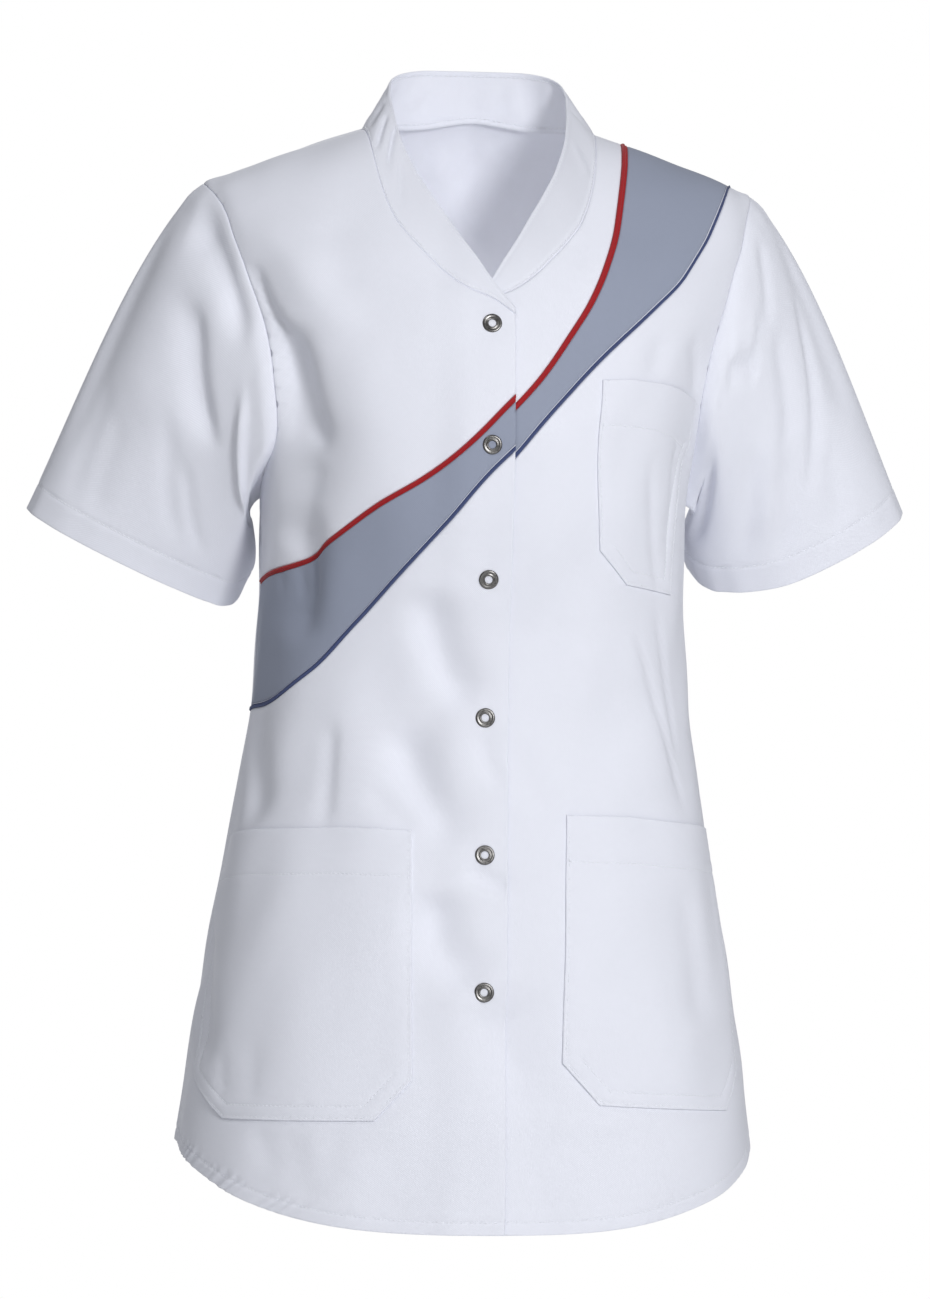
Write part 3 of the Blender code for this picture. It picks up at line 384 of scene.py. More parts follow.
BACK_CREASES = (
    (135, -130, 85, -235, 8, 9, 3.8, 0.4),
    (-134, -126, -90, -222, -6, 8.5, 3.5, -0.3),
    (118, -110, 96, -170, 3, 7, 1.9, 0),
    (-112, -150, -80, -270, -5, 10, 2.2, 0),
    (-32, -12, -10, -52, -6, 8.5, 4.2, 0),
    (-16, -40, 18, -82, -3, 6, 3.4, 0),
    (34, -50, 24, -140, 3, 11, 3, 0),
    (-50, -40, -36, -130, 2, 9, 2.6, 0),
    (-38, 3, -36, -18, 0, 2.8, 1.4, 0),
    (-24, 2, -21, -14, 0, 2.5, 1.2, 0),
    (-6, 1, -8, -20, 0, 3, 1.4, 0),
    (12, 1, 10, -12, 0, 2.5, 1, 0),
    (32, 2, 34, -18, 0, 2.8, 1.3, 0),
    (72, -290, 20, -400, 8, 10, 3.5, 0.3),
    (-80, -300, -30, -392, -7, 9, 3.2, 0),
    (112, -330, 62, -424, 5, 8, 2.6, 0),
    (-118, -322, -74, -430, -4, 8.5, 2.6, 0),
    (2, -360, -12, -452, 3, 9, 2.1, 0),
    (50, -440, 56, -600, 6, 13, 3.2, 0),
    (-66, -430, -78, -590, -5, 13, 2.9, 0),
    (122, -430, 136, -560, 4, 11, 2.2, 0),
    (-10, -520, -14, -660, 4, 14, 2.2, 0),
    (-130, -500, -146, -630, 4, 12, 1.9, 0),
    (90, -600, 98, -680, 2, 11, 1.6, 0),
)
# Creases of the sleeves, as above, but with ends in degrees from the shoulder towards the
# front and in shares of the way from the armhole to the cuff.
RIGHT_SLEEVE_CREASES = (
    (42, 0.11, 102, 0.1, -6, 11.5, 7.5, -0.1),
    (68, 0.2, 106, 0.47, 4, 11, 6.6, 0.2),
    (112, 0.15, 143, 0.48, 2, 6.5, -4.2, 0),
    (48, 0.08, 62, 0.66, 3, 19, -3.6, 0),
    (24, 0.1, 28, 0.85, 2, 13, 2.4, 0),
    (150, 0.34, 172, 0.4, 2, 6, 2.8, 0),
    (80, 0.5, 104, 0.86, 3, 6.5, 1.8, 0),
    (92, 0.56, 120, 0.84, 2, 5.5, 1.4, 0),
    (56, 0.62, 60, 0.93, 2, 8, 1.6, 0),
    (40, 0.55, 46, 0.95, 2, 8, 1.4, 0),
    (180, 0.14, 180, 0.92, 0, 14, -3, 0),
    (-180, 0.14, -180, 0.92, 0, 14, -3, 0),
    (-40, 0.05, -30, 0.7, 4, 14, 3.6, 0),
    (-88, 0.08, -128, 0.62, -5, 12, 5.8, 0.3),
    (-66, 0.4, -72, 0.9, 3, 11, 2.8, 0),
    (-120, 0.5, -100, 0.92, 3, 9, 2.2, 0),
    (-44, 0.1, -96, 0.1, 5, 11, 5, 0),
    (160, 0.14, 176, 0.3, 1, 4.5, 1.8, 0),
    (-158, 0.16, -176, 0.3, 1, 5, 1.5, 0),
)
LEFT_SLEEVE_CREASES = (
    (111, 0.1, 88, 0.27, 2, 4.2, 4.2, -0.3),
    (104, 0.07, 84, 0.19, 1, 8, -2, 0),
    (43, 0.24, 80, 0.78, 3, 5, 2.6, 0.3),
    (73, 0.24, 84, 0.6, 2, 6.5, 2.4, 0.2),
    (54, 0.05, 78, 0.22, 1, 6, 1.9, 0),
    (30, 0.08, 34, 0.7, -2, 12, 2.4, 0),
    (148, 0.16, 156, 0.74, 2, 9, 3.6, 0),
    (104, 0.42, 120, 0.88, 3, 9, 2.2, 0),
    (86, 0.56, 98, 0.92, 2, 8, 2, 0),
    (60, 0.66, 66, 0.93, 2, 8, 1.5, 0),
    (94, 0.4, 104, 0.84, 3, 9, -1.8, 0),
    (-44, 0.06, -34, 0.66, 4, 13, 3.6, 0),
    (-92, 0.1, -134, 0.66, -5, 12, 5.6, 0.3),
    (-70, 0.36, -66, 0.88, 3, 11, 2.8, 0),
    (-114, 0.46, -106, 0.92, 3, 9, 2.2, 0),
    (-48, 0.11, -90, 0.11, 5, 10, 4, 0),
    (158, 0.16, 176, 0.28, 1, 4.5, 1.5, 0),
    (-160, 0.14, -174, 0.3, 1, 5, 1.5, 0),
)
SLEEVE_GIRTH = 0.062      # radius that turns a sleeve's degrees into a length
SLEEVE_LENGTH = 0.2       # length that one share stands for
SLEEVE_COLUMNS = 124      # steps round the armhole
SLEEVE_ROWS = 44          # rows from the last of the head's to the first of the cuff's
CUFF_ROWS = (0.0245, 0.0212, 0.0192, 0.018, 0.0168, 0.0148, 0.012, 0.009, 0.006, 0.0034,
             0.0016, 0.0007, 0.0002, 0.0)
HEAD_ROWS = (0.0, 0.00015, 0.0005, 0.0011, 0.0026)
SLEEVE_STEPS = 161        # points on a path down the sleeve before its rows are read off
SLEEVE_SINK = 0.0009      # its head starts this deep under the body's outer face
SLEEVE_GAP = 0.0002       # and this far out of the seam
SLEEVE_LIFT = 0.0006      # its outer face lies this far over its paths
SLEEVE_FADE = 0.012       # its relief begins within this from the armhole
SLEEVE_WAVE = 0.0004      # height, width and lean of its soft wave
SLEEVE_WAVE_WIDTH = 0.019
SLEEVE_WAVE_LEAN = 6
# Length and height of puckers.
HEAD_PUCKER = (0.017, 0.0005)
HEAD_PUCKER_REACH = 0.016
CUFF_PUCKER = (0.021, 0.0003)
HEAD_CROWN = 0.0009       # the head bulges beside the armhole
HEAD_CROWN_AT = 0.01
HEAD_CROWN_WIDTH = 0.008

# Creases of the collar, as above, but with ends in shares of the way round it (0 at the
# wearer's right end, 1 at the left) and of its height.
COLLAR_CREASES = (
    (0.245, 0.1, 0.285, 0.75, 1, 5.5, 2.6, 0),
    (0.205, 0.3, 0.235, 0.95, 1, 5, 2.4, 0),
    (0.16, 0.2, 0.19, 0.8, 1, 4, 1.1, 0),
    (0.3, 0.05, 0.33, 0.8, 1, 6, 1.8, 0),
    (0.355, 0.2, 0.372, 0.95, 1, 5, 1.3, 0),
    (0.395, 0.1, 0.385, 0.85, 1, 5.5, 1.7, 0),
    (0.425, 0.3, 0.448, 0.75, 2, 6.5, 1.6, 0),
    (0.47, 0, 0.462, 0.7, 1, 5, 1.5, 0),
    (0.505, 0.25, 0.528, 0.8, -2, 6, 1.4, 0),
    (0.545, 0.1, 0.552, 0.9, 1, 5.5, 1.7, 0),
    (0.585, 0.25, 0.6, 0.9, 1, 6, 1.4, 0),
    (0.62, 0.1, 0.628, 0.8, 1, 5, 1.6, 0),
    (0.7, 0.1, 0.69, 0.9, 1, 5, 1.2, 0),
    (0.79, 0.1, 0.78, 0.8, 1, 4.5, 1.1, 0),
)
COLLAR_HEIGHT = 0.04      # length that one share of the collar's height stands for
COLLAR_RADIUS = 0.00065   # half the collar's thickness
COLLAR_ROWS = (0.0, 0.0002, 0.0005, 0.0009, 0.0014, 0.002, 0.003)
COLLAR_EDGE_SHARE = 0.2   # where it tapers, these rows take this share of its height
COLLAR_MIDDLE = 13        # rows from the last of these to the first at the other edge
COLLAR_FADE = 0.02        # where it is lower than this, its relief fades
COLLAR_CROWN = 0.0007     # it bulges this much
COLLAR_PUCKER = (0.014, 0.00025)
COLLAR_PUCKER_REACH = 0.006
COLLAR_ROLL = 1.2         # its edges are rounded this share of its radius far in
COLLAR_TURN = 0.92        # and this share deep
COLLAR_FOOT_STITCH = 0.0018  # its stitches are this far from its foot and its free edge
COLLAR_TOP_STITCH = 0.0034
COLLAR_STITCH_LIFT = 0.0002
COLLAR_LEAST = 0.008      # no stitches where it is lower than this
LEDGE = 0.0012            # the collar's inner layer reaches this far below the neck seam
LEDGE_FOOT = 0.0012       # this deep under the body's outer face at its edge
LEDGE_TOP = 0.0019        # and at the seam

# Soft waves of the cloth: wavelength round the body and up it, phase and height.
WAVE_COLUMNS = ("across", "up", "phase", "height")
WAVES = (
    (0.094, 0.21, 0.3, 0.00045),
    (-0.061, 0.17, 1.9, 0.00035),
    (0.141, -0.083, 4.1, 0.0003),
    (0.047, 0.26, 2.6, 0.00025),
    (-0.085, 0.064, 5.2, 0.0002),
    (0.035, -0.15, 0.9, 0.00014),
)

# Pockets: how many of the corners lie along the open top edge.
POCKETS = {"pocket_right": (POCKET_RIGHT, 4), "pocket_left": (POCKET_LEFT, 4),
           "pocket_chest": (POCKET_CHEST, 5)}
POCKET_TOP_HEM = 0.029
POCKET_EDGE_STITCH = 0.0018
POCKET_INNER_STITCH = 0.009
POCKET_LIFT = 0.00115     # a pocket's outer face over its panel
POCKET_FOLD = 0.00035     # its folded edges add this much
POCKET_REST = 0.0002      # its inner face clears the panel by this much
POCKET_MOUTH = 0.0008     # its top edge stands this much off the panel
POCKET_MOUTH_WIDTH = 0.009
POCKET_MOUTH_FADE = 0.02  # but the ends of the edge lie flat, within this
POCKET_ROLL = 0.0005      # radius of its edges, which turn in a little deeper
POCKET_ROLL_DEPTH = 1.3
POCKET_ROLL_ROWS = (0.00012, 0.00035, 0.0006, 0.0011)
POCKET_GROOVE_ROWS = (-0.0016, -0.0007, 0.0, 0.0007, 0.0016)
POCKET_GROOVE = 0.9       # its stitches pull in this share of a groove
POCKET_BESIDE = 0.001     # the doubled top reaches this far past its stitches
POCKET_DOUBLED = 0.0105   # and the doubled edges this far in
POCKET_PUCKER = (0.011, 0.00012)
POCKET_PUCKER_REACH = 0.0085
POCKET_SLANT = 0.8
POCKET_WEAVE_SHIFT = (0.0137, 0.0071)

WHITE = (0.8, 0.812, 0.88)
SLATE = (0.295, 0.325, 0.412)
RED = (0.36, 0.009, 0.013)
BLUE = (0.055, 0.075, 0.18)
NICKEL = (0.17, 0.165, 0.16)
NICKEL_SHARES = (0.55, 1.35)
THREAD_TONES = ((0.8, 0.82, 0.88), (0.92, 0.93, 0.96))
TWILL = 0.00062           # from one rib of the twill to the next
TINT = 0.035              # how far the cloth's colour varies to each side
SLATE_TINT = 0.05
CORD_TWILL = 0.0005
CORD_TINT = 0.08
YARN_SHARE = 0.62
SLUB_SIZE = 0.0035
CLOUD_SIZE = 0.045
FIBRE_SIZE = 0.0006
TWIST_SIZE = 0.0004
WEAR_SIZE = 0.0016
SCRATCH_SIZE = 0.0003
CLOTH_BUMP = 0.00007      # height of the weave's relief
NICKEL_BUMP = 0.00002


# ---------------------------------------------------------------- smooth curves
def slopes(knots, values):
    """Slopes of a smooth curve through the values that never overshoots them."""
    steps = np.diff(knots)
    rises = np.diff(values) / steps
    middle = np.zeros(len(values))
    for i in range(1, len(values) - 1):
        if rises[i - 1] * rises[i] > 0:
            before = 2 * steps[i] + steps[i - 1]
            after = steps[i] + 2 * steps[i - 1]
            middle[i] = (before + after) / (before / rises[i - 1] + after / rises[i])
    middle[0] = rises[0]
    middle[-1] = rises[-1]
    return middle


def smooth(knots, values, at):
    """Read the smooth curve through (knots, values) at the given places."""
    knots = np.asarray(knots, float)
    values = np.asarray(values, float)
    at = np.clip(np.asarray(at, float), knots[0], knots[-1])
    slope = slopes(knots, values)
    i = np.clip(np.searchsorted(knots, at, side="right") - 1, 0, len(knots) - 2)
    step = knots[i + 1] - knots[i]
    s = (at - knots[i]) / step
    start = (1 + 2 * s) * (1 - s) ** 2 * values[i] + s * (1 - s) ** 2 * step * slope[i]
    end = s * s * (3 - 2 * s) * values[i + 1] + s * s * (s - 1) * step * slope[i + 1]
    return start + end


def lengths_along(points):
    """Length of the line through the points, up to each of them."""
    steps = np.linalg.norm(np.diff(np.asarray(points, float), axis=0), axis=1)
    return np.r_[0.0, np.cumsum(steps)]


def smooth_rows(knots, rows, at):
    """Rows read off the smooth curves through them, at the given places."""
    return np.stack([smooth(knots, column, at) for column in np.array(rows).T], axis=1)


def straight_rows(knots, rows, at):
    """Rows read off the straight lines between them, at the given places."""
    return np.stack([np.interp(at, knots, column) for column in rows.T], axis=1)


def soft(share):
    """A share, kept from 0 to 1, that starts and ends softly."""
    share = np.clip(share, 0.0, 1.0)
    return share * share * (3 - 2 * share)


def unit(vector):
    """The vector, or each row of vectors, made one long."""
    vector = np.asarray(vector, float)
    return vector / np.linalg.norm(vector, axis=-1, keepdims=True)


def left_of(ways):
    """The directions, a quarter turn to the left."""
    return np.stack([-ways[:, 1], ways[:, 0]], axis=1)


def fine_curve(points):
    """Many points on a smooth curve through the given points."""
    lengths = lengths_along(points)
    return smooth_rows(lengths, points, np.linspace(0.0, lengths[-1], CURVE_STEPS))


def even_count(points, count):
    """The given number of points, evenly spaced on a smooth curve through the points."""
    curve = fine_curve(points)
    run = lengths_along(curve)
    return straight_rows(run, curve, np.linspace(0.0, run[-1], count))


def even_steps(points, step):
    """Points about one step apart on a smooth curve through the given points."""
    total = lengths_along(fine_curve(points))[-1]
    return even_count(points, int(round(total / step)) + 1)


# ---------------------------------------------------------------- the body's form
RING = dict(zip(RING_COLUMNS, np.array(RINGS).T))


def ring(name, run):
    """One size of the body's ring at a run."""
    return smooth(RING["run"], RING[name], run)


def fold_depth(angle, run):
    """Depth of the soft folds at a place on the body."""
    across = np.asarray(angle) * FLAT_RADIUS
    depth = np.zeros_like(across)
    for row in FOLDS:
        fold = dict(zip(FOLD_COLUMNS, row))
        start = np.array([math.radians(fold["angle_a"]) * FLAT_RADIUS, fold["run_a"]])
        end = np.array([math.radians(fold["angle_b"]) * FLAT_RADIUS, fold["run_b"]])
        along = end - start
        length = np.linalg.norm(along)
        along = along / length
        s = ((across - start[0]) * along[0] + (run - start[1]) * along[1]) / length
        away = (across - start[0]) * along[1] - (run - start[1]) * along[0]
        fade = np.clip(s, 0.0, 1.0) * np.clip(1.0 - s, 0.0, 1.0) * 4.0
        depth = depth + fold["depth"] * fade * np.exp(-(away / fold["width"]) ** 2)
    return depth


def form(angle, run):
    """Points of the smooth body without its folds."""
    sine = np.sin(angle)
    cosine = np.cos(angle)
    scale = (np.abs(sine) ** SQUARENESS + np.abs(cosine) ** SQUARENESS) ** (-1 / SQUARENESS)
    side = scale * sine
    is_back = cosine < 0
    depth = np.where(is_back, ring("back", run), ring("front", run))
    fall = np.abs(side) ** SHOULDER_BEND
    rise = np.where(is_back, ring("back_rise", run) * (1 - fall), 0.0)
    x = ring("half_width", run) * side
    y = -depth * scale * cosine
    z = ring("height", run) - ring("drop", run) * fall + rise
    return np.stack([x, y, z], axis=-1)


def normals(angle, run):
    """Outward directions of the smooth body."""
    turn = FORM_STEP / FLAT_RADIUS
    run = np.clip(run, RINGS[0][0] + FORM_STEP, SHOULDER_RUN - SHOULDER_RIDGE)
    around = form(angle + turn, run) - form(angle - turn, run)
    up = form(angle, run + FORM_STEP) - form(angle, run - FORM_STEP)
    return unit(np.cross(around, up))


def angle_at(side, run, on_back=False):
    """Angle round the body of the place that lies the given way to the side."""
    share = np.clip(np.abs(side) / ring("half_width", run), 0.0, 1.0)
    ahead = (1 - share ** SQUARENESS) ** (1 / SQUARENESS)
    angle = np.arctan2(share, -ahead if on_back else ahead)
    return np.where(np.asarray(side) < 0, -angle, angle)


def place(side, height, on_back=False):
    """Angle and run of the place at the given side and height."""
    low = RINGS[0][0]
    high = SHOULDER_RUN
    for _ in range(PLACE_STEPS):
        run = (low + high) / 2
        angle = float(angle_at(side, run, on_back))
        if form(np.array(angle), np.array(run))[2] < height:
            low = run
        else:
            high = run
    return angle, (low + high) / 2


def flat(angle, run):
    """The place as a point on the unrolled body."""
    return (float(angle) * FLAT_RADIUS, float(run))


def front_points(rows):
    """The rows (side, height) as points on the unrolled front."""
    return [flat(*place(side, height)) for side, height in rows]


# ---------------------------------------------------------------- seams and edges
def shoulder_place(side):
    """Place on the shoulder seam, the given way to the side."""
    return flat(angle_at(side, SHOULDER_RUN), SHOULDER_RUN)


def neck_places(side):
    """Places of the front neck seam's rows, from the shoulder to the end of the lap."""
    return [shoulder_place(side * NECK_SIDE)] + front_points((side * x, z) for x, z in NECK_FRONT)


def neck_curve(side):
    """Front neck seam, from the shoulder to the end of the lap."""
    return even_steps(neck_places(side), STEP)


def back_places():
    """Places of the back neck seam's rows, from the left shoulder to the centre back."""
    rows = ((NECK_SIDE, SHOULDER_RUN), *NECK_BACK)
    return [(back_angle(side, run) * FLAT_RADIUS, run) for side, run in rows]


def neck_back_curve():
    """Back neck seam, from the left shoulder to the right one."""
    left = even_steps(back_places(), STEP)
    right = left[-2::-1] * (-1, 1) + (TURN, 0)
    return np.vstack([left, right])


def back_angle(side, run):
    """Angle on the back, from 90 degrees at the left seam to 270 at the right one."""
    angle = float(angle_at(side, run, True))
    return angle if angle >= 0 else angle + 2 * math.pi


def armhole_curve(side, on_back=False):
    """Armhole seam, from the shoulder tip to the underarm."""
    points = [(QUARTER, SHOULDER_RUN)]
    for x, z in ARMHOLE_BACK if on_back else ARMHOLE_FRONT:
        points.append(flat(*place(x + side * ARMHOLE_SHIFT, z, on_back)))
    points.append((QUARTER, UNDERARM_RUN))
    curve = even_count(points, SLEEVE_COLUMNS // 2 + 1)
    if side < 0:
        curve[:, 0] = (TURN if on_back else 0.0) - curve[:, 0]
    return curve


def straight(start, end):
    """Points on a straight line in the unrolled plane."""
    start = np.asarray(start, float)
    end = np.asarray(end, float)
    count = max(2, int(round(np.linalg.norm(end - start) / STEP)) + 1)
    return start + (end - start) * np.linspace(0, 1, count)[:, None]


def hem_run(angle):
    """Run of the curved hem, which is highest at the side seams."""
    drop = np.where(np.cos(angle) > 0, HEM_FRONT_DROP, HEM_BACK_DROP)
    return HEM_SIDE_RUN - drop * (1 - np.abs(np.sin(angle)) ** HEM_CURVE)


def hem_curve(angle_a, angle_b):
    """The hem between two angles."""
    count = int(round(abs(angle_b - angle_a) * FLAT_RADIUS / HEM_STEP)) + 1
    angles = np.linspace(angle_a, angle_b, count)
    return np.stack([angles * FLAT_RADIUS, hem_run(angles)], axis=1)


def aside(curve, distance):
    """The curve moved to its left by the distance."""
    return curve + left_of(unit(np.gradient(curve, axis=0))) * distance


def trimmed(curve, start_axis, start_value, edge_side, margin=0.0):
    """The curve with its ends carried on, or cut back, to the piece's other edges.

    It starts on the side seam or the shoulder seam, where the coordinate start_axis has
    the start value, and ends on the front edge. The margin keeps both ends short.
    """
    curve = np.array(curve)
    ahead = curve[1] - curve[0]
    curve[0] += ahead * (start_value - curve[0][start_axis]) / ahead[start_axis]
    ahead = curve[-1] - curve[-2]
    edge = float(angle_at(edge_side, curve[-1][1])) * FLAT_RADIUS
    curve[-1] += ahead * (edge - curve[-1][0]) / ahead[0]
    curve[0] += unit(curve[1] - curve[0]) * margin
    curve[-1] += unit(curve[-2] - curve[-1]) * margin
    return curve


def joined(*curves):
    """One closed outline from curves that follow each other."""
    points = []
    for curve in curves:
        for point in curve:
            if not points or math.dist(point, points[-1]) > SEAM_GAP * 2:
                points.append(tuple(point))
    while math.dist(points[0], points[-1]) <= SEAM_GAP * 2:
        points.pop()
    return np.array(points)


def shrunk(outline, margin):
    """The outline moved inwards by the margin."""
    area = np.sum(outline[:, 0] * np.roll(outline[:, 1], -1)
                  - outline[:, 1] * np.roll(outline[:, 0], -1))
    turn = 1.0 if area > 0 else -1.0
    inward_a = left_of(unit(outline - np.roll(outline, 1, axis=0))) * turn
    inward_b = left_of(unit(np.roll(outline, -1, axis=0) - outline)) * turn
    mitre = inward_a + inward_b
    share = np.maximum(np.sum(mitre * inward_a, axis=1, keepdims=True), MITRE_LIMIT)
    return outline + mitre / share * margin


def inside(points, outline):
    """Which points lie inside a closed outline."""
    result = np.zeros(len(points), bool)
    ends = np.roll(outline, -1, axis=0)
    for (x1, y1), (x2, y2) in zip(outline, ends):
        crosses = (y1 > points[:, 1]) != (y2 > points[:, 1])
        if y1 == y2:
            continue
        where = x1 + (points[:, 1] - y1) / (y2 - y1) * (x2 - x1)
        result ^= crosses & (points[:, 0] < where)
    return result


def lap_share(side):
    """How far the outer lap has risen over the inner one at a distance to the side."""
    return soft((side + LAP + LAP_BLEND) / LAP_BLEND)


def side_place(side, run):
    """Place on one side seam."""
    return (side * QUARTER, run)


def front_seams(side):
    """The band's two seams on one front, ending on its side or shoulder and its edge."""
    seams = []
    for rows in (RED_RIGHT, BLUE_RIGHT) if side < 0 else (RED_LEFT, BLUE_LEFT):
        seam = front_points(rows)
        seam[0] = side_place(-1, seam[0][1]) if side < 0 else shoulder_place(rows[0][0])
        seams.append(even_steps(seam, STEP))
    return seams


def beside(seam, distance, side, margin=0.0):
    """A line along one side of a band seam, as long as its front is wide there."""
    if side < 0:
        return trimmed(aside(seam, distance), 0, -QUARTER, LAP, margin)
    return trimmed(aside(seam, distance), 1, SHOULDER_RUN, -LAP, margin)


def both_sides(seam, width, side):
    """Lines along the upper and the lower side of the piping in a band seam."""
    return [beside(seam, -side * sign * width / 2, side) for sign in (1, -1)]


def edge_at_side(side, run_a, run_b):
    """Vertical edge of a front, the same way to the side all along."""
    count = int(round(abs(run_b - run_a) / STEP)) + 1
    runs = np.linspace(run_a, run_b, count)
    return np.stack([angle_at(side, runs) * FLAT_RADIUS, runs], axis=1)


def distance_to_lines(points, lines):
    """Distance from each point to the nearest of some open lines."""
    nearest = np.full(len(points), np.inf)
    for line in lines:
        for start, end in zip(line[:-1], line[1:]):
            along = end - start
            near = np.abs(points - (start + end) / 2).max(axis=1) < LINE_REACH + np.abs(along).max()
            if not near.any():
                continue
            local = points[near] - start
            s = np.clip(local @ along / max(along @ along, 1e-12), 0.0, 1.0)
            gap = np.linalg.norm(local - s[:, None] * along, axis=1)
            nearest[near] = np.minimum(nearest[near], gap)
    return nearest


# ---------------------------------------------------------------- creases and waves
def crease_line(start, end, bend):
    """Points of a crease, bent to its left by the bend in its middle."""
    start = np.asarray(start, float)
    end = np.asarray(end, float)
    s = np.linspace(0.0, 1.0, CREASE_POINTS)[:, None]
    left = unit(np.array([start[1] - end[1], end[0] - start[0]]))
    return start + (end - start) * s + left * bend * np.sin(s * math.pi)


def crease_height(points, creases):
    """Height that the creases give each point; troughs are negative."""
    height = np.zeros(len(points))
    for line, width, depth, lean in creases:
        share_step = 1.0 / (len(line) - 1)
        middle = line[len(line) // 2]
        local = points - middle
        local[:, 0] -= np.round(local[:, 0] / TURN) * TURN
        local += middle
        low = line.min(axis=0) - width * CREASE_REACH
        high = line.max(axis=0) + width * CREASE_REACH
        near = np.all((local > low) & (local < high), axis=1)
        if not near.any():
            continue
        p = local[near]
        best = np.full(len(p), np.inf)
        share = np.zeros(len(p))
        signed = np.zeros(len(p))
        for i, (a, b) in enumerate(zip(line[:-1], line[1:])):
            along = b - a
            s = np.clip((p - a) @ along / (along @ along), 0.0, 1.0)
            away = p - a - s[:, None] * along
            gap = np.linalg.norm(away, axis=1)
            side = np.sign(along[0] * away[:, 1] - along[1] * away[:, 0])
            closer = gap < best
            best[closer] = gap[closer]
            share[closer] = (i + s[closer]) * share_step
            signed[closer] = side[closer]
        half = width * (1 + lean * signed)
        fade = soft(CREASE_FULL * np.sin(share * math.pi))
        height[near] -= depth * fade * np.exp(-(best / half) ** 2)
    return height


def crease_lines(rows, spot):
    """The creases of a table: line in the plane, half width, depth and lean.

    The spot turns an end, as the table gives it, into a point in the plane.
    """
    lines = []
    for row in rows:
        crease = dict(zip(CREASE_COLUMNS, row))
        start = spot(crease["across_a"], crease["up_a"])
        end = spot(crease["across_b"], crease["up_b"])
        line = crease_line(start, end, crease["bend"] * MM)
        lines.append((line, crease["width"] * MM, crease["depth"] * MM, crease["lean"]))
    return lines


def front_spot(side, height):
    """Place on the front, by millimetres, as a point on the unrolled body."""
    return flat(*place(side * MM, height * MM))


def back_spot(side, height):
    """Place on the back, by millimetres, as a point on the unrolled body."""
    angle, run = place(side * MM, height * MM, True)
    return flat(angle if angle >= 0 else angle + 2 * math.pi, run)


BODY_CREASES = []
ARMHOLES = []             # lines that the body's creases keep off


def waves(points):
    """Slight unevenness of the cloth."""
    height = np.zeros(len(points))
    for row in WAVES:
        wave = dict(zip(WAVE_COLUMNS, row))
        turns = max(1, round(TURN / abs(wave["across"])))
        across = math.copysign(TURN / turns, wave["across"])
        angle = points[:, 0] / across + points[:, 1] / wave["up"]
        height += wave["height"] * np.sin(2 * math.pi * angle + wave["phase"])
    return height


def snap_pull(points):
    """Dimples and small pulled creases round the snaps."""
    height = np.zeros(len(points))
    for number, level in enumerate(SNAP_HEIGHTS):
        centre = np.array(flat(*place(0.0, level)))
        away = points - centre
        radius = np.linalg.norm(away, axis=1)
        turn = np.arctan2(away[:, 1], away[:, 0])
        height -= SNAP_DIMPLE * np.exp(-(radius / SNAP_PULL) ** 2)
        star = np.cos(3 * turn + number) + 0.6 * np.cos(5 * turn + 2.2 * number)
        ring_out = np.exp(-((radius - SNAP_PULL) / SNAP_STAR_WIDTH) ** 2)
        height -= SNAP_STAR * star * ring_out
    return height


def relief(points):
    """Height of the cloth over the smooth form, from its folds to its waves."""
    angle = points[:, 0] / FLAT_RADIUS
    fade = np.clip((SHOULDER_RUN - points[:, 1]) / SHOULDER_FADE, 0.0, 1.0)
    fade *= 1 - step_at(distance_to_lines(points, ARMHOLES), 0.0, ARMHOLE_FADE)
    height = -fold_depth(angle, points[:, 1])
    height += (crease_height(points, BODY_CREASES) + waves(points)) * fade
    on_front = np.abs(angle) < math.pi / 2
    height[on_front] += snap_pull(points[on_front])
    return height


def skin(points, lift):
    """Points of the creased body, moved out by the lift, and their directions out."""
    points = np.asarray(points, float)
    angle = points[:, 0] / FLAT_RADIUS
    out = normals(angle, points[:, 1])
    return form(angle, points[:, 1]) + out * (relief(points) + lift)[:, None], out


def rounding(distance, radius):
    """How far a face has turned in at a distance from its edge."""
    share = np.clip(1 - distance / radius, 0.0, 1.0)
    return radius * (1 - np.sqrt(1 - share ** 2))


def groove(distance):
    """How far a row of stitches pulls the cloth in."""
    return GROOVE * np.exp(-(distance / GROOVE_WIDTH) ** 2)


def step_at(distance, limit, width=STEP_WIDTH):
    """1 up to the limit, falling softly to 0 just past it."""
    return soft((limit + width - distance) / width)


def pucker(along, wave, depth):
    """Uneven little waves of a length and a depth along a line."""
    phase = 2 * math.pi * along / wave
    return depth * np.sin(phase + 1.3 * np.sin(phase / 3.7)) * (0.6 + 0.4 * np.sin(phase / 5.3))


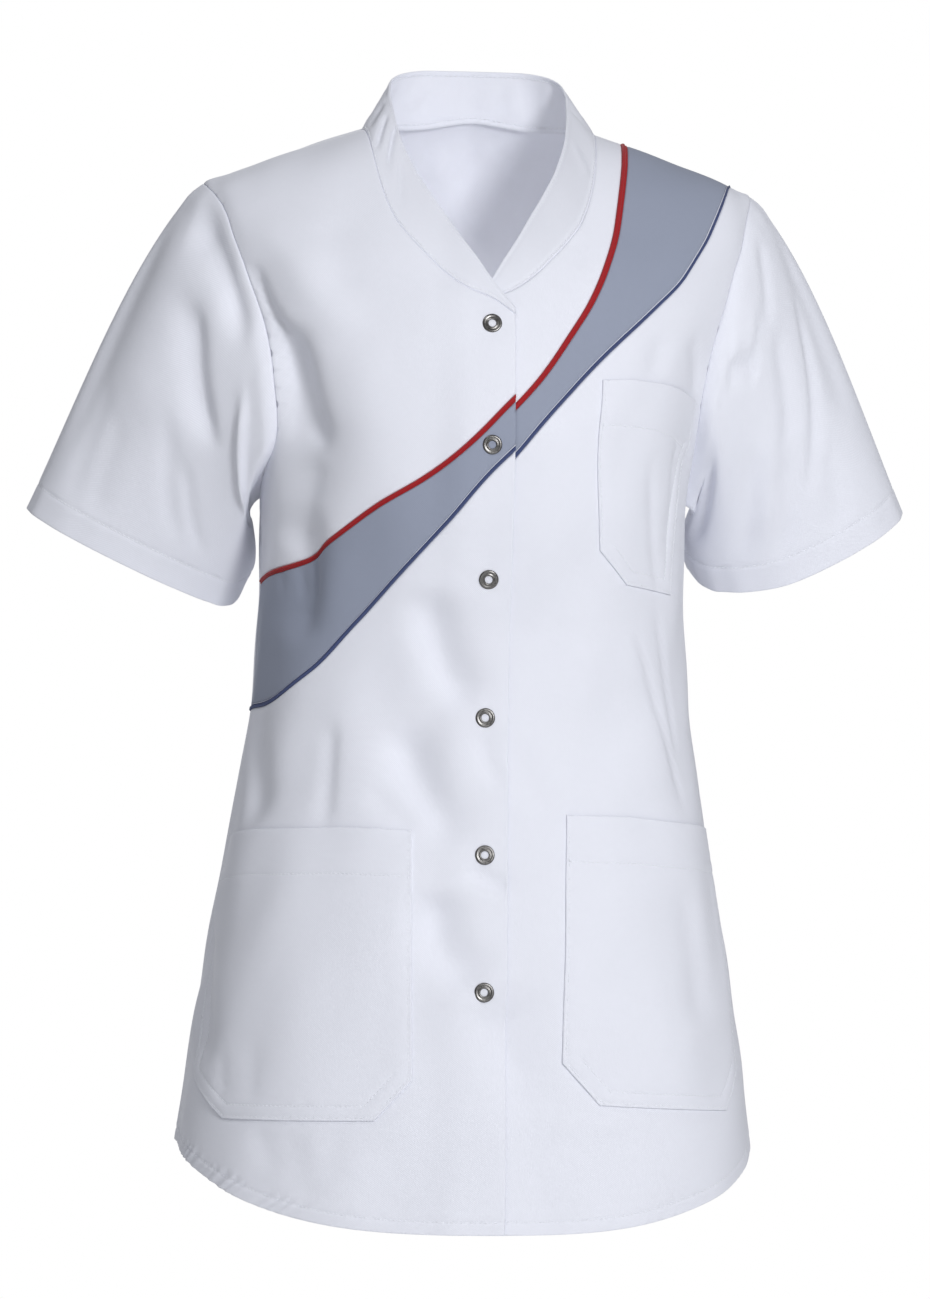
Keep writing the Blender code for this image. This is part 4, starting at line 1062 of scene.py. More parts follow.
# ---------------------------------------------------------------- filling outlines
def filled(outline, rows):
    """Fill an outline with fine triangles that keep the points of the given rows."""
    kept = {tuple(np.round(p / SAME_POINT).astype(int)) for p in outline}
    points = [tuple(p) for p in outline]
    for row in rows:
        for p in row[inside(row, outline)]:
            key = tuple(np.round(p / SAME_POINT).astype(int))
            if key not in kept:
                kept.add(key)
                points.append(tuple(p))
    tree = KDTree(len(points))
    for i, p in enumerate(points):
        tree.insert((p[0], p[1], 0.0), i)
    tree.balance()
    low = outline.min(axis=0)
    high = outline.max(axis=0)
    rise = GRID * math.sqrt(3) / 2
    for number, y in enumerate(np.arange(low[1], high[1], rise)):
        line = np.arange(low[0] + (number % 2) * GRID / 2, high[0], GRID)
        line = np.stack([line, np.full(len(line), y)], axis=1)
        if not len(line):
            continue
        for p in line[inside(line, outline)]:
            if tree.find((p[0], p[1], 0.0))[2] > GRID * GRID_MARGIN:
                points.append(tuple(p))
    edges = [(i, (i + 1) % len(outline)) for i in range(len(outline))]
    result = delaunay_2d_cdt([Vector(p) for p in points], edges, [], 0, 1e-7)
    flat_points = np.array([tuple(v) for v in result[0]])
    faces = np.array(result[2])
    return flat_points, faces[inside(flat_points[faces].mean(axis=1), outline)]


def strip_faces(rows, columns):
    """Triangles of a grid of points, row after row."""
    r, c = np.meshgrid(np.arange(rows - 1), np.arange(columns - 1), indexing="ij")
    a = (r * columns + c).ravel()
    b = a + 1
    low = np.stack([a, b, b + columns], axis=1)
    high = np.stack([a, b + columns, a + columns], axis=1)
    return np.concatenate([low, high])


# ---------------------------------------------------------------- making pieces
def add_mesh(name, points, faces, weave=None):
    """A smooth mesh object, with the place of each point in the weave of its cloth."""
    mesh = bpy.data.meshes.new(name)
    mesh.from_pydata(np.asarray(points).tolist(), [], [list(map(int, f)) for f in faces])
    if weave is not None:
        layer = mesh.attributes.new("weave", "FLOAT_VECTOR", "POINT")
        values = np.zeros((len(points), 3), np.float32)
        values[:, :2] = weave
        layer.data.foreach_set("vector", values.ravel())
    mesh.shade_smooth()
    piece = bpy.data.objects.new(name, mesh)
    bpy.context.scene.collection.objects.link(piece)
    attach(piece, "root")
    return piece


def shell(name, outer, inner, faces, weave):
    """Closed cloth of two layers of points that share their faces."""
    used, numbers = np.unique(faces, return_inverse=True)
    faces = numbers.reshape(np.asarray(faces).shape)
    outer = np.asarray(outer)[used]
    inner = np.asarray(inner)[used]
    weave = np.asarray(weave)[used]
    count = len(used)
    a, b, c = (outer[faces[:, i]] for i in range(3))
    d = inner[faces[:, 0]]
    if np.sum(np.cross(b - a, c - a) * (a - d)) < 0:
        faces = faces[:, ::-1]
    directed = set()
    for x, y, z in faces.tolist():
        directed.update(((x, y), (y, z), (z, x)))
    rim = []
    for x, y in sorted(directed):
        if (y, x) not in directed:
            rim.append((y, x, x + count, y + count))
    every = faces.tolist() + (faces[:, ::-1] + count).tolist() + rim
    return add_mesh(name, np.vstack([outer, inner]), every, np.vstack([weave, weave]))


def dress(piece, node, material):
    """Hide the solid that the cloth stands for, and give the cloth its finish."""
    piece.data.materials.append(material)
    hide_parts(node)


THREADS = {}


def sew(group, points, out):
    """Keep a row of stitches, to be made when all rows of its group are known."""
    THREADS.setdefault(group, []).append((np.asarray(points), np.asarray(out)))


def make_threads(group, material):
    """Every stitch of a group: a short, slightly bulging length of thread."""
    verts = []
    faces = []
    for points, out in THREADS[group]:
        lengths = lengths_along(points)
        centres = np.arange(STITCH / 2, lengths[-1] - STITCH / 2, STITCH)
        if not len(centres):
            continue
        centre = straight_rows(lengths, points, centres)
        up = unit(straight_rows(lengths, out, centres))
        ahead = straight_rows(lengths, points, centres + AHEAD)
        along = unit(ahead - centre)
        across = unit(np.cross(along, up))
        for spot, way, rise, side in zip(centre + up * THREAD * STITCH_RISE, along, up, across):
            first = len(verts)
            for share, width in STITCH_STATIONS:
                middle = spot + way * share * STITCH_LENGTH / 2
                if width == 0.0:
                    verts.append(middle - rise * THREAD * STITCH_DIP)
                    continue
                for x, y in STITCH_SECTION:
                    verts.append(middle + (side * x + rise * y) * THREAD * width)
            for i in range(4):
                j = (i + 1) % 4
                faces.append((first, first + 1 + j, first + 1 + i))
                faces.append((first + 1 + i, first + 1 + j, first + 5 + j, first + 5 + i))
                faces.append((first + 9, first + 5 + i, first + 5 + j))
    piece = add_mesh(group, verts, faces)
    piece.data.materials.append(material)
    return piece


# ---------------------------------------------------------------- the body's panels
def lap_height(points):
    """How far the outer front lies over the body's form."""
    side = form(points[:, 0] / FLAT_RADIUS, points[:, 1])[:, 0]
    return LAP_STEP * lap_share(side)


def panel(node, edges, material, lifted=False):
    """One sewn piece of the body. The edges are (kind, curve), in order round it."""
    outline = shrunk(joined(*[curve for _, curve in edges]), HAIR)
    seams = [curve for kind, curve in edges if kind == "seam"]
    hems = [curve for kind, curve in edges if kind == "hem"]
    folds = [curve for kind, curve in edges if kind in ("hem", "fold")]
    rows = [shrunk(outline, d) for d in ROLL_ROWS]
    for hem in hems:
        depths = [*HEM_ROWS, *(HEM + d for d in GROOVE_ROWS)]
        rows += [aside(hem, sign * d) for d in depths for sign in (1, -1)]
    points, faces = filled(outline, rows)
    height = np.zeros(len(points))
    thickness = np.full(len(points), SHELL)
    if lifted:
        rise = lap_height(points)
        height += rise
        thickness += LAP_THICKNESS * rise / LAP_STEP
    height -= rounding(distance_to_lines(points, seams), ROLL)
    if hems:
        to_hem = distance_to_lines(points, hems)
        thickness += HEM_THICKNESS * step_at(to_hem, HEM)
        height -= groove(to_hem - HEM)
        slanted = points[:, 0] - np.minimum(to_hem, 2 * HEM) * HEM_SLANT
        strength = np.interp(points[:, 0], HEM_RIPPLE_PLACES, HEM_RIPPLES)
        strength *= step_at(to_hem, HEM_RIPPLE_REACH, HEM_RIPPLE_FADE)
        height += pucker(slanted, HEM_WAVE, strength)
    edge_turn = rounding(distance_to_lines(points, folds), EDGE_ROLL)
    edge_turn = np.minimum(edge_turn, thickness * EDGE_SHARE)
    angle = points[:, 0] / FLAT_RADIUS
    out = normals(angle, points[:, 1])
    base = form(angle, points[:, 1])
    height += relief(points)
    outer = base + out * (height - edge_turn)[:, None]
    inner = base + out * (height - thickness + edge_turn)[:, None]
    piece = shell("cloth_" + node, outer, inner, faces, points)
    dress(piece, node, material)
    for hem in hems:
        line = aside(hem, HEM)
        if not inside(line[len(line) // 2:len(line) // 2 + 1], outline)[0]:
            line = aside(hem, -HEM)
        line = line[inside(line, outline)]
        lift = -GROOVE + (lap_height(line) if lifted else 0.0)
        sew("stitches_hem", *skin(line, lift))


def right_front(cloths):
    """The wearer's right front, which laps over: upper part, band and lower part."""
    red, blue = front_seams(-1)
    neck = neck_curve(-1)
    tip = side_place(-1, SHOULDER_RUN)
    above_red, below_red = both_sides(red, RED_WIDTH, -1)
    above_blue, below_blue = both_sides(blue, BLUE_WIDTH, -1)
    panel("front_right_upper", [
        ("seam", neck[::-1]),
        ("seam", straight(neck[0], tip)),
        ("seam", armhole_curve(-1)),
        ("seam", straight(side_place(-1, UNDERARM_RUN), above_red[0])),
        ("seam", above_red),
        ("fold", edge_at_side(LAP, above_red[-1][1], neck[-1][1]))],
        cloths["white"], lifted=True)
    panel("front_right_band", [
        ("seam", below_red[::-1]),
        ("seam", straight(below_red[0], above_blue[0])),
        ("seam", above_blue),
        ("fold", edge_at_side(LAP, above_blue[-1][1], below_red[-1][1]))],
        cloths["slate"], lifted=True)
    edge_hem = hem_run(angle_at(LAP, HEM_SIDE_RUN))
    hem = hem_curve(-math.pi / 2, float(angle_at(LAP, float(edge_hem))))
    panel("front_right_lower", [
        ("seam", below_blue[::-1]),
        ("seam", straight(below_blue[0], hem[0])),
        ("hem", hem),
        ("fold", edge_at_side(LAP, hem[-1][1], below_blue[-1][1]))],
        cloths["white"], lifted=True)
    piping("piping_red_right", red, RED_WIDTH, -1, -1, (cloths["red"],))
    piping("piping_blue_right", blue, BLUE_WIDTH, -1, 1,
           (cloths["blue"], cloths["white"]))


def left_front(cloths):
    """The wearer's left front, which laps under: upper part, band and lower part."""
    red, blue = front_seams(1)
    neck = neck_curve(1)
    tip = side_place(1, SHOULDER_RUN)
    above_red, below_red = both_sides(red, RED_WIDTH, 1)
    above_blue, below_blue = both_sides(blue, BLUE_WIDTH, 1)
    panel("front_left_upper", [
        ("seam", neck),
        ("fold", edge_at_side(-LAP, neck[-1][1], above_red[-1][1])),
        ("seam", above_red[::-1]),
        ("seam", straight(above_red[0], neck[0]))],
        cloths["white"])
    panel("front_left_band", [
        ("seam", below_red),
        ("fold", edge_at_side(-LAP, below_red[-1][1], above_blue[-1][1])),
        ("seam", above_blue[::-1]),
        ("seam", straight(above_blue[0], below_red[0]))],
        cloths["slate"])
    edge_hem = hem_run(angle_at(-LAP, HEM_SIDE_RUN))
    hem = hem_curve(float(angle_at(-LAP, float(edge_hem))), math.pi / 2)
    panel("front_left_lower", [
        ("seam", below_blue),
        ("fold", edge_at_side(-LAP, below_blue[-1][1], hem[0][1])),
        ("hem", hem),
        ("seam", straight(hem[-1], side_place(1, UNDERARM_RUN))),
        ("seam", armhole_curve(1)[::-1]),
        ("seam", straight(tip, below_blue[0]))],
        cloths["white"])
    piping("piping_red_left", red, RED_WIDTH, 1, 1, (cloths["red"],))
    piping("piping_blue_left", blue, BLUE_WIDTH, 1, -1,
           (cloths["blue"], cloths["white"]))


def back(cloths):
    """The back, in one piece from side seam to side seam."""
    hem = hem_curve(math.pi * 1.5, math.pi / 2)
    left = armhole_curve(1, on_back=True)
    right = armhole_curve(-1, on_back=True)
    neck = neck_back_curve()
    panel("back", [
        ("seam", neck),
        ("seam", straight(neck[-1], (math.pi * 1.5 * FLAT_RADIUS, SHOULDER_RUN))),
        ("seam", right),
        ("seam", straight(right[-1], hem[0])),
        ("hem", hem),
        ("seam", straight(hem[-1], left[-1])),
        ("seam", left[::-1]),
        ("seam", straight(left[0], neck[0]))],
        cloths["white"])


# Cross-section of the piping, from the band to the other side: share of its half width,
# and height over the cloth. A flat edge, a stitched dip and a round cord follow each other.
PIPING_SECTION = (
    (-1.02, -0.001),
    (-0.94, -0.0001),
    (-0.72, 0.00016),
    (-0.5, 0.00012),
    (-0.38, -0.00012),
    (-0.26, 0.0002),
    (-0.08, 0.00072),
    (0.18, 0.00098),
    (0.44, 0.00094),
    (0.7, 0.00062),
    (0.9, 0.00008),
    (1.02, -0.001),
)
PIPING_EDGE = 3           # the first points of the section, in the edge's own colour
PIPING_WALL = 0.0004      # thickness of its cloth
PIPING_DEPTH = 0.0006     # but its inside lies this deep at least


def piping(node, seam, width, side, band, materials):
    """Piping caught in a seam of the band. The band lies on its side with the sign band."""
    outer = []
    inner = []
    weave = []
    for share, proud in PIPING_SECTION:
        row = beside(seam, -share * width / 2 * band, side, HAIR)
        row = even_count(row, len(seam) * 2)
        across = form(row[:, 0] / FLAT_RADIUS, row[:, 1])[:, 0]
        if side < 0:
            lift = LAP_STEP * lap_share(across)
        else:
            lift = np.zeros(len(row))
            proud = np.where(proud > 0, proud * np.clip((across - LAP) / PIPING_FADE, 0.0, 1.0), proud)
        outer.append(skin(row, lift + proud)[0])
        inner.append(skin(row, lift + np.minimum(proud - PIPING_WALL, -PIPING_DEPTH))[0])
        weave.append(row)
    columns = len(outer[0])
    faces = strip_faces(len(PIPING_SECTION), columns)
    piece = shell(node + "_cord", np.concatenate(outer), np.concatenate(inner), faces,
                  np.concatenate(weave))
    dress(piece, node, materials[0])
    if len(materials) > 1:
        piece.data.materials.append(materials[1])
        for polygon in piece.data.polygons:
            rows = [(v % (columns * len(PIPING_SECTION))) // columns for v in polygon.vertices]
            if max(rows) < PIPING_EDGE:
                polygon.material_index = 1


# ---------------------------------------------------------------- pockets
def along_corners(corners):
    """Points along straight lines from corner to corner."""
    line = [straight(a, b)[:-1] for a, b in zip(corners[:-1], corners[1:])]
    return np.vstack([*line, corners[-1:]])


def pocket(node, corners, top, cloths, lifted=False):
    """A patch pocket on a front: hemmed top, folded edges, two rows of stitches."""
    corners = np.array(front_points(corners))
    outline = along_corners(np.vstack([corners, corners[:1]]))[:-1]
    mouth = along_corners(corners[:top])
    sewn = along_corners(np.vstack([corners[top - 1:], corners[:1]]))
    edge_row = shrunk(corners, POCKET_EDGE_STITCH)
    stitched = (along_corners(np.vstack([edge_row[top - 1:], edge_row[:1]])),
                along_corners(shrunk(corners, POCKET_INNER_STITCH)[top:]),
                along_corners(corners[:top] - (0.0, POCKET_TOP_HEM)))
    rows = [shrunk(outline, d) for d in POCKET_ROLL_ROWS]
    for line in stitched:
        rows += [aside(line, d) for d in POCKET_GROOVE_ROWS]
    points, faces = filled(outline, rows)
    to_mouth = distance_to_lines(points, [mouth])
    to_sewn = distance_to_lines(points, [sewn])
    lift = lap_height(points) if lifted else np.zeros(len(points))
    opening = POCKET_MOUTH * np.exp(-(to_mouth / POCKET_MOUTH_WIDTH) ** 2)
    opening *= np.clip(to_sewn / POCKET_MOUTH_FADE, 0.0, 1.0)
    doubled = np.maximum(step_at(to_mouth, POCKET_TOP_HEM + POCKET_BESIDE),
                         step_at(to_sewn, POCKET_DOUBLED))
    height = POCKET_LIFT + POCKET_FOLD * doubled + opening
    for line in stitched:
        height -= groove(distance_to_lines(points, [line])) * POCKET_GROOVE
    ripples = pucker(points[:, 0] * POCKET_SLANT + points[:, 1], *POCKET_PUCKER)
    height += ripples * step_at(to_sewn, POCKET_PUCKER_REACH)
    height -= rounding(np.minimum(to_mouth, to_sewn), POCKET_ROLL) * POCKET_ROLL_DEPTH
    outer, _ = skin(points, lift + height)
    inner, _ = skin(points, lift + POCKET_REST + opening)
    piece = shell("cloth_" + node, outer, inner, faces, points + POCKET_WEAVE_SHIFT)
    dress(piece, node, cloths["white"])
    for line in stitched:
        line = line[inside(line, outline)]
        lift = lap_height(line) if lifted else 0.0
        lift = lift + POCKET_LIFT + POCKET_FOLD - GROOVE * POCKET_GROOVE
        sew("stitches_pockets", *skin(line, lift))


# ---------------------------------------------------------------- collar
def edge_beside(rows, edge, seam):
    """Collar edge at every point of a neck seam, from its rows and their places."""
    knots = lengths_along(rows)
    at = lengths_along(seam)
    return smooth_rows(knots, edge, at * knots[-1] / at[-1])


def collar_half(side):
    """Neck seam, collar edge and lap lift, from the centre back to one front end."""
    back_rows = back_places()[::-1]
    back_seam = neck_back_curve()
    back_seam = back_seam[:len(back_seam) // 2 + 1][::-1]
    front_rows = neck_places(1)
    front = neck_curve(1)
    places = np.vstack([back_seam, front[1:]]) * (side, 1)
    places[:, 0] += np.where(places[:, 0] < -TURN / 4, TURN, 0.0)
    seam, out = skin(places, -CLOTH / 2)
    end = seam[-1] * (side, 1, 1) + (0.0, 0.0, COLLAR_END)
    shoulder = len(back_rows) - 1
    edge_back = edge_beside(back_rows, COLLAR_EDGE[:shoulder + 1], back_seam)
    edge_front = edge_beside(front_rows, (*COLLAR_EDGE[shoulder:], end), front)
    edge = np.vstack([edge_back, edge_front[1:]]) * (side, 1, 1)
    in_front = np.arange(len(seam)) >= len(back_seam)
    share = np.where(in_front, lap_share(-seam[:, 0] * side), 0.0)
    step = (LAP_STEP if side < 0 else -COLLAR_SINK) * share[:, None]
    return seam, edge, out * step, out


def collar(cloths):
    """One strip round the neck, standing at the back and tapering down the front."""
    right = collar_half(-1)
    left = collar_half(1)
    seam, edge, lift, body_out = (np.vstack([a[::-1], b[1:]]) for a, b in zip(right, left))
    up = edge - seam
    height = np.linalg.norm(up, axis=1)
    foot = seam + unit(up) * SEAM_GAP
    out = unit(np.cross(up, np.gradient(seam, axis=0)))
    out = out * np.sign(out[len(seam) // 2][1])
    station = lengths_along(seam)
    creases = crease_lines(COLLAR_CREASES, lambda at, up: (at * station[-1], up * COLLAR_HEIGHT))
    near_edges = [np.minimum(d, height * COLLAR_EDGE_SHARE) for d in COLLAR_ROWS]
    low = near_edges[-1]
    between = [low + (height - 2 * low) * s for s in np.linspace(0.0, 1.0, COLLAR_MIDDLE)[1:-1]]
    rows = [*near_edges, *between, *(height - row for row in near_edges[::-1])]
    fade = np.clip(height / COLLAR_FADE, 0.0, 1.0)
    outer = []
    inner = []
    weave = []
    for row in rows:
        share = row / height
        line = foot + (edge - foot) * share[:, None] + lift
        plane = np.stack([station, share * COLLAR_HEIGHT], axis=1)
        bump = crease_height(plane, creases) + COLLAR_CROWN * np.sin(share * math.pi)
        bump += pucker(station, *COLLAR_PUCKER) * np.exp(-row / COLLAR_PUCKER_REACH)
        turn_in = rounding(np.minimum(row, height - row), COLLAR_RADIUS * COLLAR_ROLL)
        turn_in = np.minimum(turn_in, COLLAR_RADIUS * COLLAR_TURN)
        stitched = groove(row - COLLAR_FOOT_STITCH) + groove(height - row - COLLAR_TOP_STITCH)
        half = COLLAR_RADIUS - turn_in - stitched * fade
        outer.append(line + out * (bump * fade + half)[:, None])
        inner.append(line + out * (bump * fade - half)[:, None])
        weave.append(np.stack([station, row], axis=1))
    # The inner layer's edge lies on the inside of the body, below the seam.
    down = unit(np.cross(body_out, np.gradient(seam, axis=0)))
    down = down * -np.sign(np.sum(down * up, axis=1))[:, None]
    inner[0] = seam + lift + down * LEDGE - body_out * LEDGE_FOOT
    inner[1] = seam + lift - body_out * LEDGE_TOP
    faces = strip_faces(len(rows), len(seam))
    piece = shell("cloth_collar", np.concatenate(outer), np.concatenate(inner), faces,
                  np.concatenate(weave))
    dress(piece, "collar", cloths["white"])
    wide = height > COLLAR_LEAST
    level = COLLAR_STITCH_LIFT + COLLAR_RADIUS - GROOVE
    for row in (np.full(len(seam), COLLAR_FOOT_STITCH), height - COLLAR_TOP_STITCH):
        line = foot + (edge - foot) * (row / height)[:, None] + lift
        for sign in (1, -1):
            sew("stitches_collar", (line + out * sign * level)[wide], (out * sign)[wide])


# ---------------------------------------------------------------- sleeves
def sleeve_loop(side):
    """Turns round the armhole in degrees, and the places on its seam at these turns."""
    behind = armhole_curve(side, on_back=True)
    loop = np.vstack([behind[::-1], armhole_curve(side)[1:]])
    even = np.linspace(-180.0, 180.0, len(loop))
    beside_seam = np.degrees(np.array(ROLL_ROWS) / SLEEVE_GIRTH)
    turns = np.r_[-180.0, beside_seam - 180.0, even[1:-1], 180.0 - beside_seam[::-1], 180.0]
    return turns, straight_rows(even, loop, turns)


def sleeve_paths(side, turns, loop):
    """Fine paths down the cloth, from the armhole to the cuff, one at each turn."""
    start = skin(loop, -SLEEVE_SINK)[0] * (side, 1, 1)
    head = dict(zip(HEAD_COLUMNS, np.array(SLEEVE_HEAD).T))
    around = turns % 360.0
    around[-1] = 180.0
    leave = unit(np.stack([smooth(head["turn"], head[way], around)
                           for way in ("out", "back", "up")], axis=1))
    start = start + leave * SLEEVE_GAP
    reach = smooth(head["turn"], head["reach"], around)[:, None]
    axis = unit(SLEEVE_AXIS)
    wide = unit(np.cross(np.cross(axis, (1.0, 0.0, 0.0)), axis))
    deep = np.cross(axis, wide)
    deep = deep * -np.sign(deep[1])
    angle = np.radians(turns)[:, None]
    rises = dict(zip(CUFF_RISE_COLUMNS, np.array(CUFF_RISE).T))
    rise = smooth(rises["turn"], rises["right" if side < 0 else "left"], around)[:, None]
    end = (np.array(CUFF_CENTRE) + wide * CUFF_HALF_WIDTH * np.cos(angle)
           + deep * CUFF_HALF_DEPTH * np.sin(angle) + rise * (0.0, 0.0, 1.0))
    s = np.linspace(0.0, 1.0, SLEEVE_STEPS)[:, None, None]
    from_start = (1 + 2 * s) * (1 - s) ** 2 * start + s * (1 - s) ** 2 * leave * reach
    to_end = s * s * (3 - 2 * s) * end + s * s * (s - 1) * axis * CUFF_REACH
    return from_start + to_end


def sleeve_levels(total):
    """How far down the cloth each row of a sleeve lies, from the armhole to the cuff."""
    first = HEAD_ROWS[-1]
    last = total - CUFF_ROWS[0]
    levels = [np.full(len(total), d) for d in HEAD_ROWS]
    levels += [first + (last - first) * s for s in np.linspace(0.0, 1.0, SLEEVE_ROWS)[1:-1]]
    levels += [total - d for d in CUFF_ROWS]
    return np.stack(levels)


def grid_out(grid):
    """Direction out of the cloth at every point of a sleeve."""
    closed = np.concatenate([grid[:, -2:-1], grid, grid[:, 1:2]], axis=1)
    turn_way = unit(np.diff(closed, axis=1))
    turn_way = turn_way[:, 1:] + turn_way[:, :-1]
    down = np.gradient(grid, axis=0)
    down[:2] = down[2]
    out = unit(np.cross(down, turn_way))
    centre = grid.mean(axis=1, keepdims=True)
    return out * np.sign(np.sum(out * (grid - centre)))


def sleeve_spot(turn, share):
    """Degrees round a sleeve and a share of its length, as a point on it unrolled."""
    return math.radians(turn) * SLEEVE_GIRTH, share * SLEEVE_LENGTH


def sleeve(node, side, rows, cloths):
    """A set-in sleeve: a strip of cloth from one edge of its underarm seam to the other."""
    turns, loop = sleeve_loop(side)
    paths = sleeve_paths(side, turns, loop)
    steps = np.linalg.norm(np.diff(paths, axis=0), axis=2)
    lengths = np.vstack([np.zeros(len(loop)), np.cumsum(steps, axis=0)])
    total = lengths[-1]
    levels = sleeve_levels(total)
    grid = np.stack([straight_rows(lengths[:, k], paths[:, k], levels[:, k])
                     for k in range(len(loop))], axis=1)
    out = grid_out(grid)
    share = levels / total
    around = np.broadcast_to(np.radians(turns) * SLEEVE_GIRTH, share.shape)
    plane = np.stack([around, share * SLEEVE_LENGTH], axis=2)
    bump = crease_height(plane.reshape(-1, 2), crease_lines(rows, sleeve_spot))
    bump = bump.reshape(share.shape)
    bump += pucker(around, *HEAD_PUCKER) * np.exp(-levels / HEAD_PUCKER_REACH)
    bump += SLEEVE_WAVE * np.sin(around / SLEEVE_WAVE_WIDTH + SLEEVE_WAVE_LEAN * share)
    bump *= np.clip(levels / SLEEVE_FADE, 0.0, 1.0)
    bump += HEAD_CROWN * np.exp(-((levels - HEAD_CROWN_AT) / HEAD_CROWN_WIDTH) ** 2)
    to_cuff = total - levels
    to_side = np.radians(np.minimum(turns + 180, 180 - turns)) * SLEEVE_GIRTH
    in_hem = step_at(to_cuff, CUFF_HEM)
    bump += pucker(around, *CUFF_PUCKER) * in_hem - groove(to_cuff - CUFF_HEM)
    bump -= rounding(levels, ROLL) + rounding(to_side, ROLL) * (levels > HEAD_ROWS[2])
    thickness = SHELL + HEM_THICKNESS * in_hem
    edge_turn = np.minimum(rounding(to_cuff, EDGE_ROLL), thickness * EDGE_SHARE)
    level = bump + SLEEVE_LIFT
    outer = (grid + out * (level - edge_turn)[:, :, None]) * (side, 1, 1)
    inner = (grid + out * (level - thickness + edge_turn)[:, :, None]) * (side, 1, 1)
    weave = np.stack([around, levels], axis=2)
    faces = strip_faces(len(levels), len(loop))
    piece = shell("cloth_" + node, outer.reshape(-1, 3), inner.reshape(-1, 3), faces,
                  weave.reshape(-1, 2))
    dress(piece, node, cloths["white"])
    row = len(levels) - len(CUFF_ROWS) + CUFF_ROWS.index(CUFF_HEM)
    sew("stitches_" + node, outer[row], out[row] * (side, 1, 1))


# ---------------------------------------------------------------- snaps
# Cross-section of a snap: share of the way from its hole to its rim, and height.
SNAP_SECTION = (
    (0.0, 0.0001),
    (1.0, 0.0),
    (1.02, 0.00022),
    (1.01, 0.00052),
    (0.96, 0.00082),
    (0.86, 0.00104),
    (0.72, 0.00114),
    (0.6, 0.00108),
    (0.5, 0.00094),
    (0.4, 0.0009),
    (0.31, 0.001),
    (0.22, 0.00118),
    (0.12, 0.00118),
    (0.03, 0.00096),
    (-0.02, 0.00058),
)
SNAP_STEPS = 48
SNAP_SINK = 0.0001        # it is pressed into the cloth this much
SNAP_CREST = math.radians(50)  # edges of a snap that bend more than this stay sharp


def snap(number, level, material):
    """An open ring snap on the outer front."""
    spot = np.array([flat(*place(0.0, level))])
    centre, out = skin(spot, LAP_STEP - SNAP_SINK)
    turn = Vector((0.0, 0.0, 1.0)).rotation_difference(Vector(out[0])).to_matrix()
    angles = np.arange(SNAP_STEPS) * 2 * math.pi / SNAP_STEPS
    verts = []
    for share, rise in SNAP_SECTION:
        radius = SNAP_HOLE + (SNAP_RADIUS - SNAP_HOLE) * share
        loop = np.stack([radius * np.cos(angles), radius * np.sin(angles),
                         np.full(SNAP_STEPS, rise)], axis=1)
        verts.append(loop @ np.array(turn).T + centre[0])
    faces = []
    rows = len(SNAP_SECTION)
    for r in range(rows):
        for i in range(SNAP_STEPS):
            j = (i + 1) % SNAP_STEPS
            low = r * SNAP_STEPS
            high = (r + 1) % rows * SNAP_STEPS
            faces.append((low + i, low + j, high + j, high + i))
    piece = add_mesh(f"snap_{number}_ring", np.concatenate(verts), faces)
    piece.data.set_sharp_from_angle(angle=SNAP_CREST)
    piece.data.materials.append(material)
    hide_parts(f"snap_{number}")


# ---------------------------------------------------------------- materials
def new_material(name):
    """A material with its node tree and its shader."""
    material = bpy.data.materials.new(name)
    material.use_nodes = True
    tree = material.node_tree
    return material, tree, tree.nodes["Principled BSDF"]


def wave_node(tree, vector, pitch, direction):
    """Bands with the given pitch in metres."""
    wave = tree.nodes.new("ShaderNodeTexWave")
    wave.bands_direction = direction
    wave.inputs["Scale"].default_value = 2 * math.pi / 20 / pitch
    tree.links.new(vector, wave.inputs["Vector"])
    return wave.outputs["Fac"]


def noise_node(tree, vector, size, detail=3.0):
    """Soft noise with spots of about the given size in metres."""
    noise = tree.nodes.new("ShaderNodeTexNoise")
    noise.inputs["Scale"].default_value = 1 / size
    noise.inputs["Detail"].default_value = detail
    tree.links.new(vector, noise.inputs["Vector"])
    return noise.outputs["Fac"]


def mixed(tree, kind, a, b):
    """Math node on two values or outputs."""
    node = tree.nodes.new("ShaderNodeMath")
    node.operation = kind
    for socket, value in zip(node.inputs, (a, b)):
        if isinstance(value, (int, float)):
            socket.default_value = value
        else:
            tree.links.new(value, socket)
    return node.outputs[0]


def summed(tree, first, *others):
    """Sum of outputs, each times its weight."""
    total = mixed(tree, "MULTIPLY", *first)
    for part in others:
        total = mixed(tree, "ADD", total, mixed(tree, "MULTIPLY", *part))
    return total


def two_tone(tree, shader, share, low, high):
    """Let the base colour change from the low colour to the high one with the share."""
    tones = tree.nodes.new("ShaderNodeMix")
    tones.data_type = "RGBA"
    tones.inputs[6].default_value = (*low, 1.0)
    tones.inputs[7].default_value = (*high, 1.0)
    tree.links.new(share, tones.inputs[0])
    tree.links.new(tones.outputs[2], shader.inputs["Base Color"])


def uneven_roughness(tree, shader, share, extra, least):
    """Roughness from the least upwards, by the share of the extra."""
    rough = mixed(tree, "ADD", mixed(tree, "MULTIPLY", share, extra), least)
    tree.links.new(rough, shader.inputs["Roughness"])


def bumped(tree, shader, height, distance, strength=1.0):
    """Fine relief, where the full height stands for the distance."""
    bump = tree.nodes.new("ShaderNodeBump")
    bump.inputs["Distance"].default_value = distance
    bump.inputs["Strength"].default_value = strength
    tree.links.new(height, bump.inputs["Height"])
    tree.links.new(bump.outputs["Normal"], shader.inputs["Normal"])


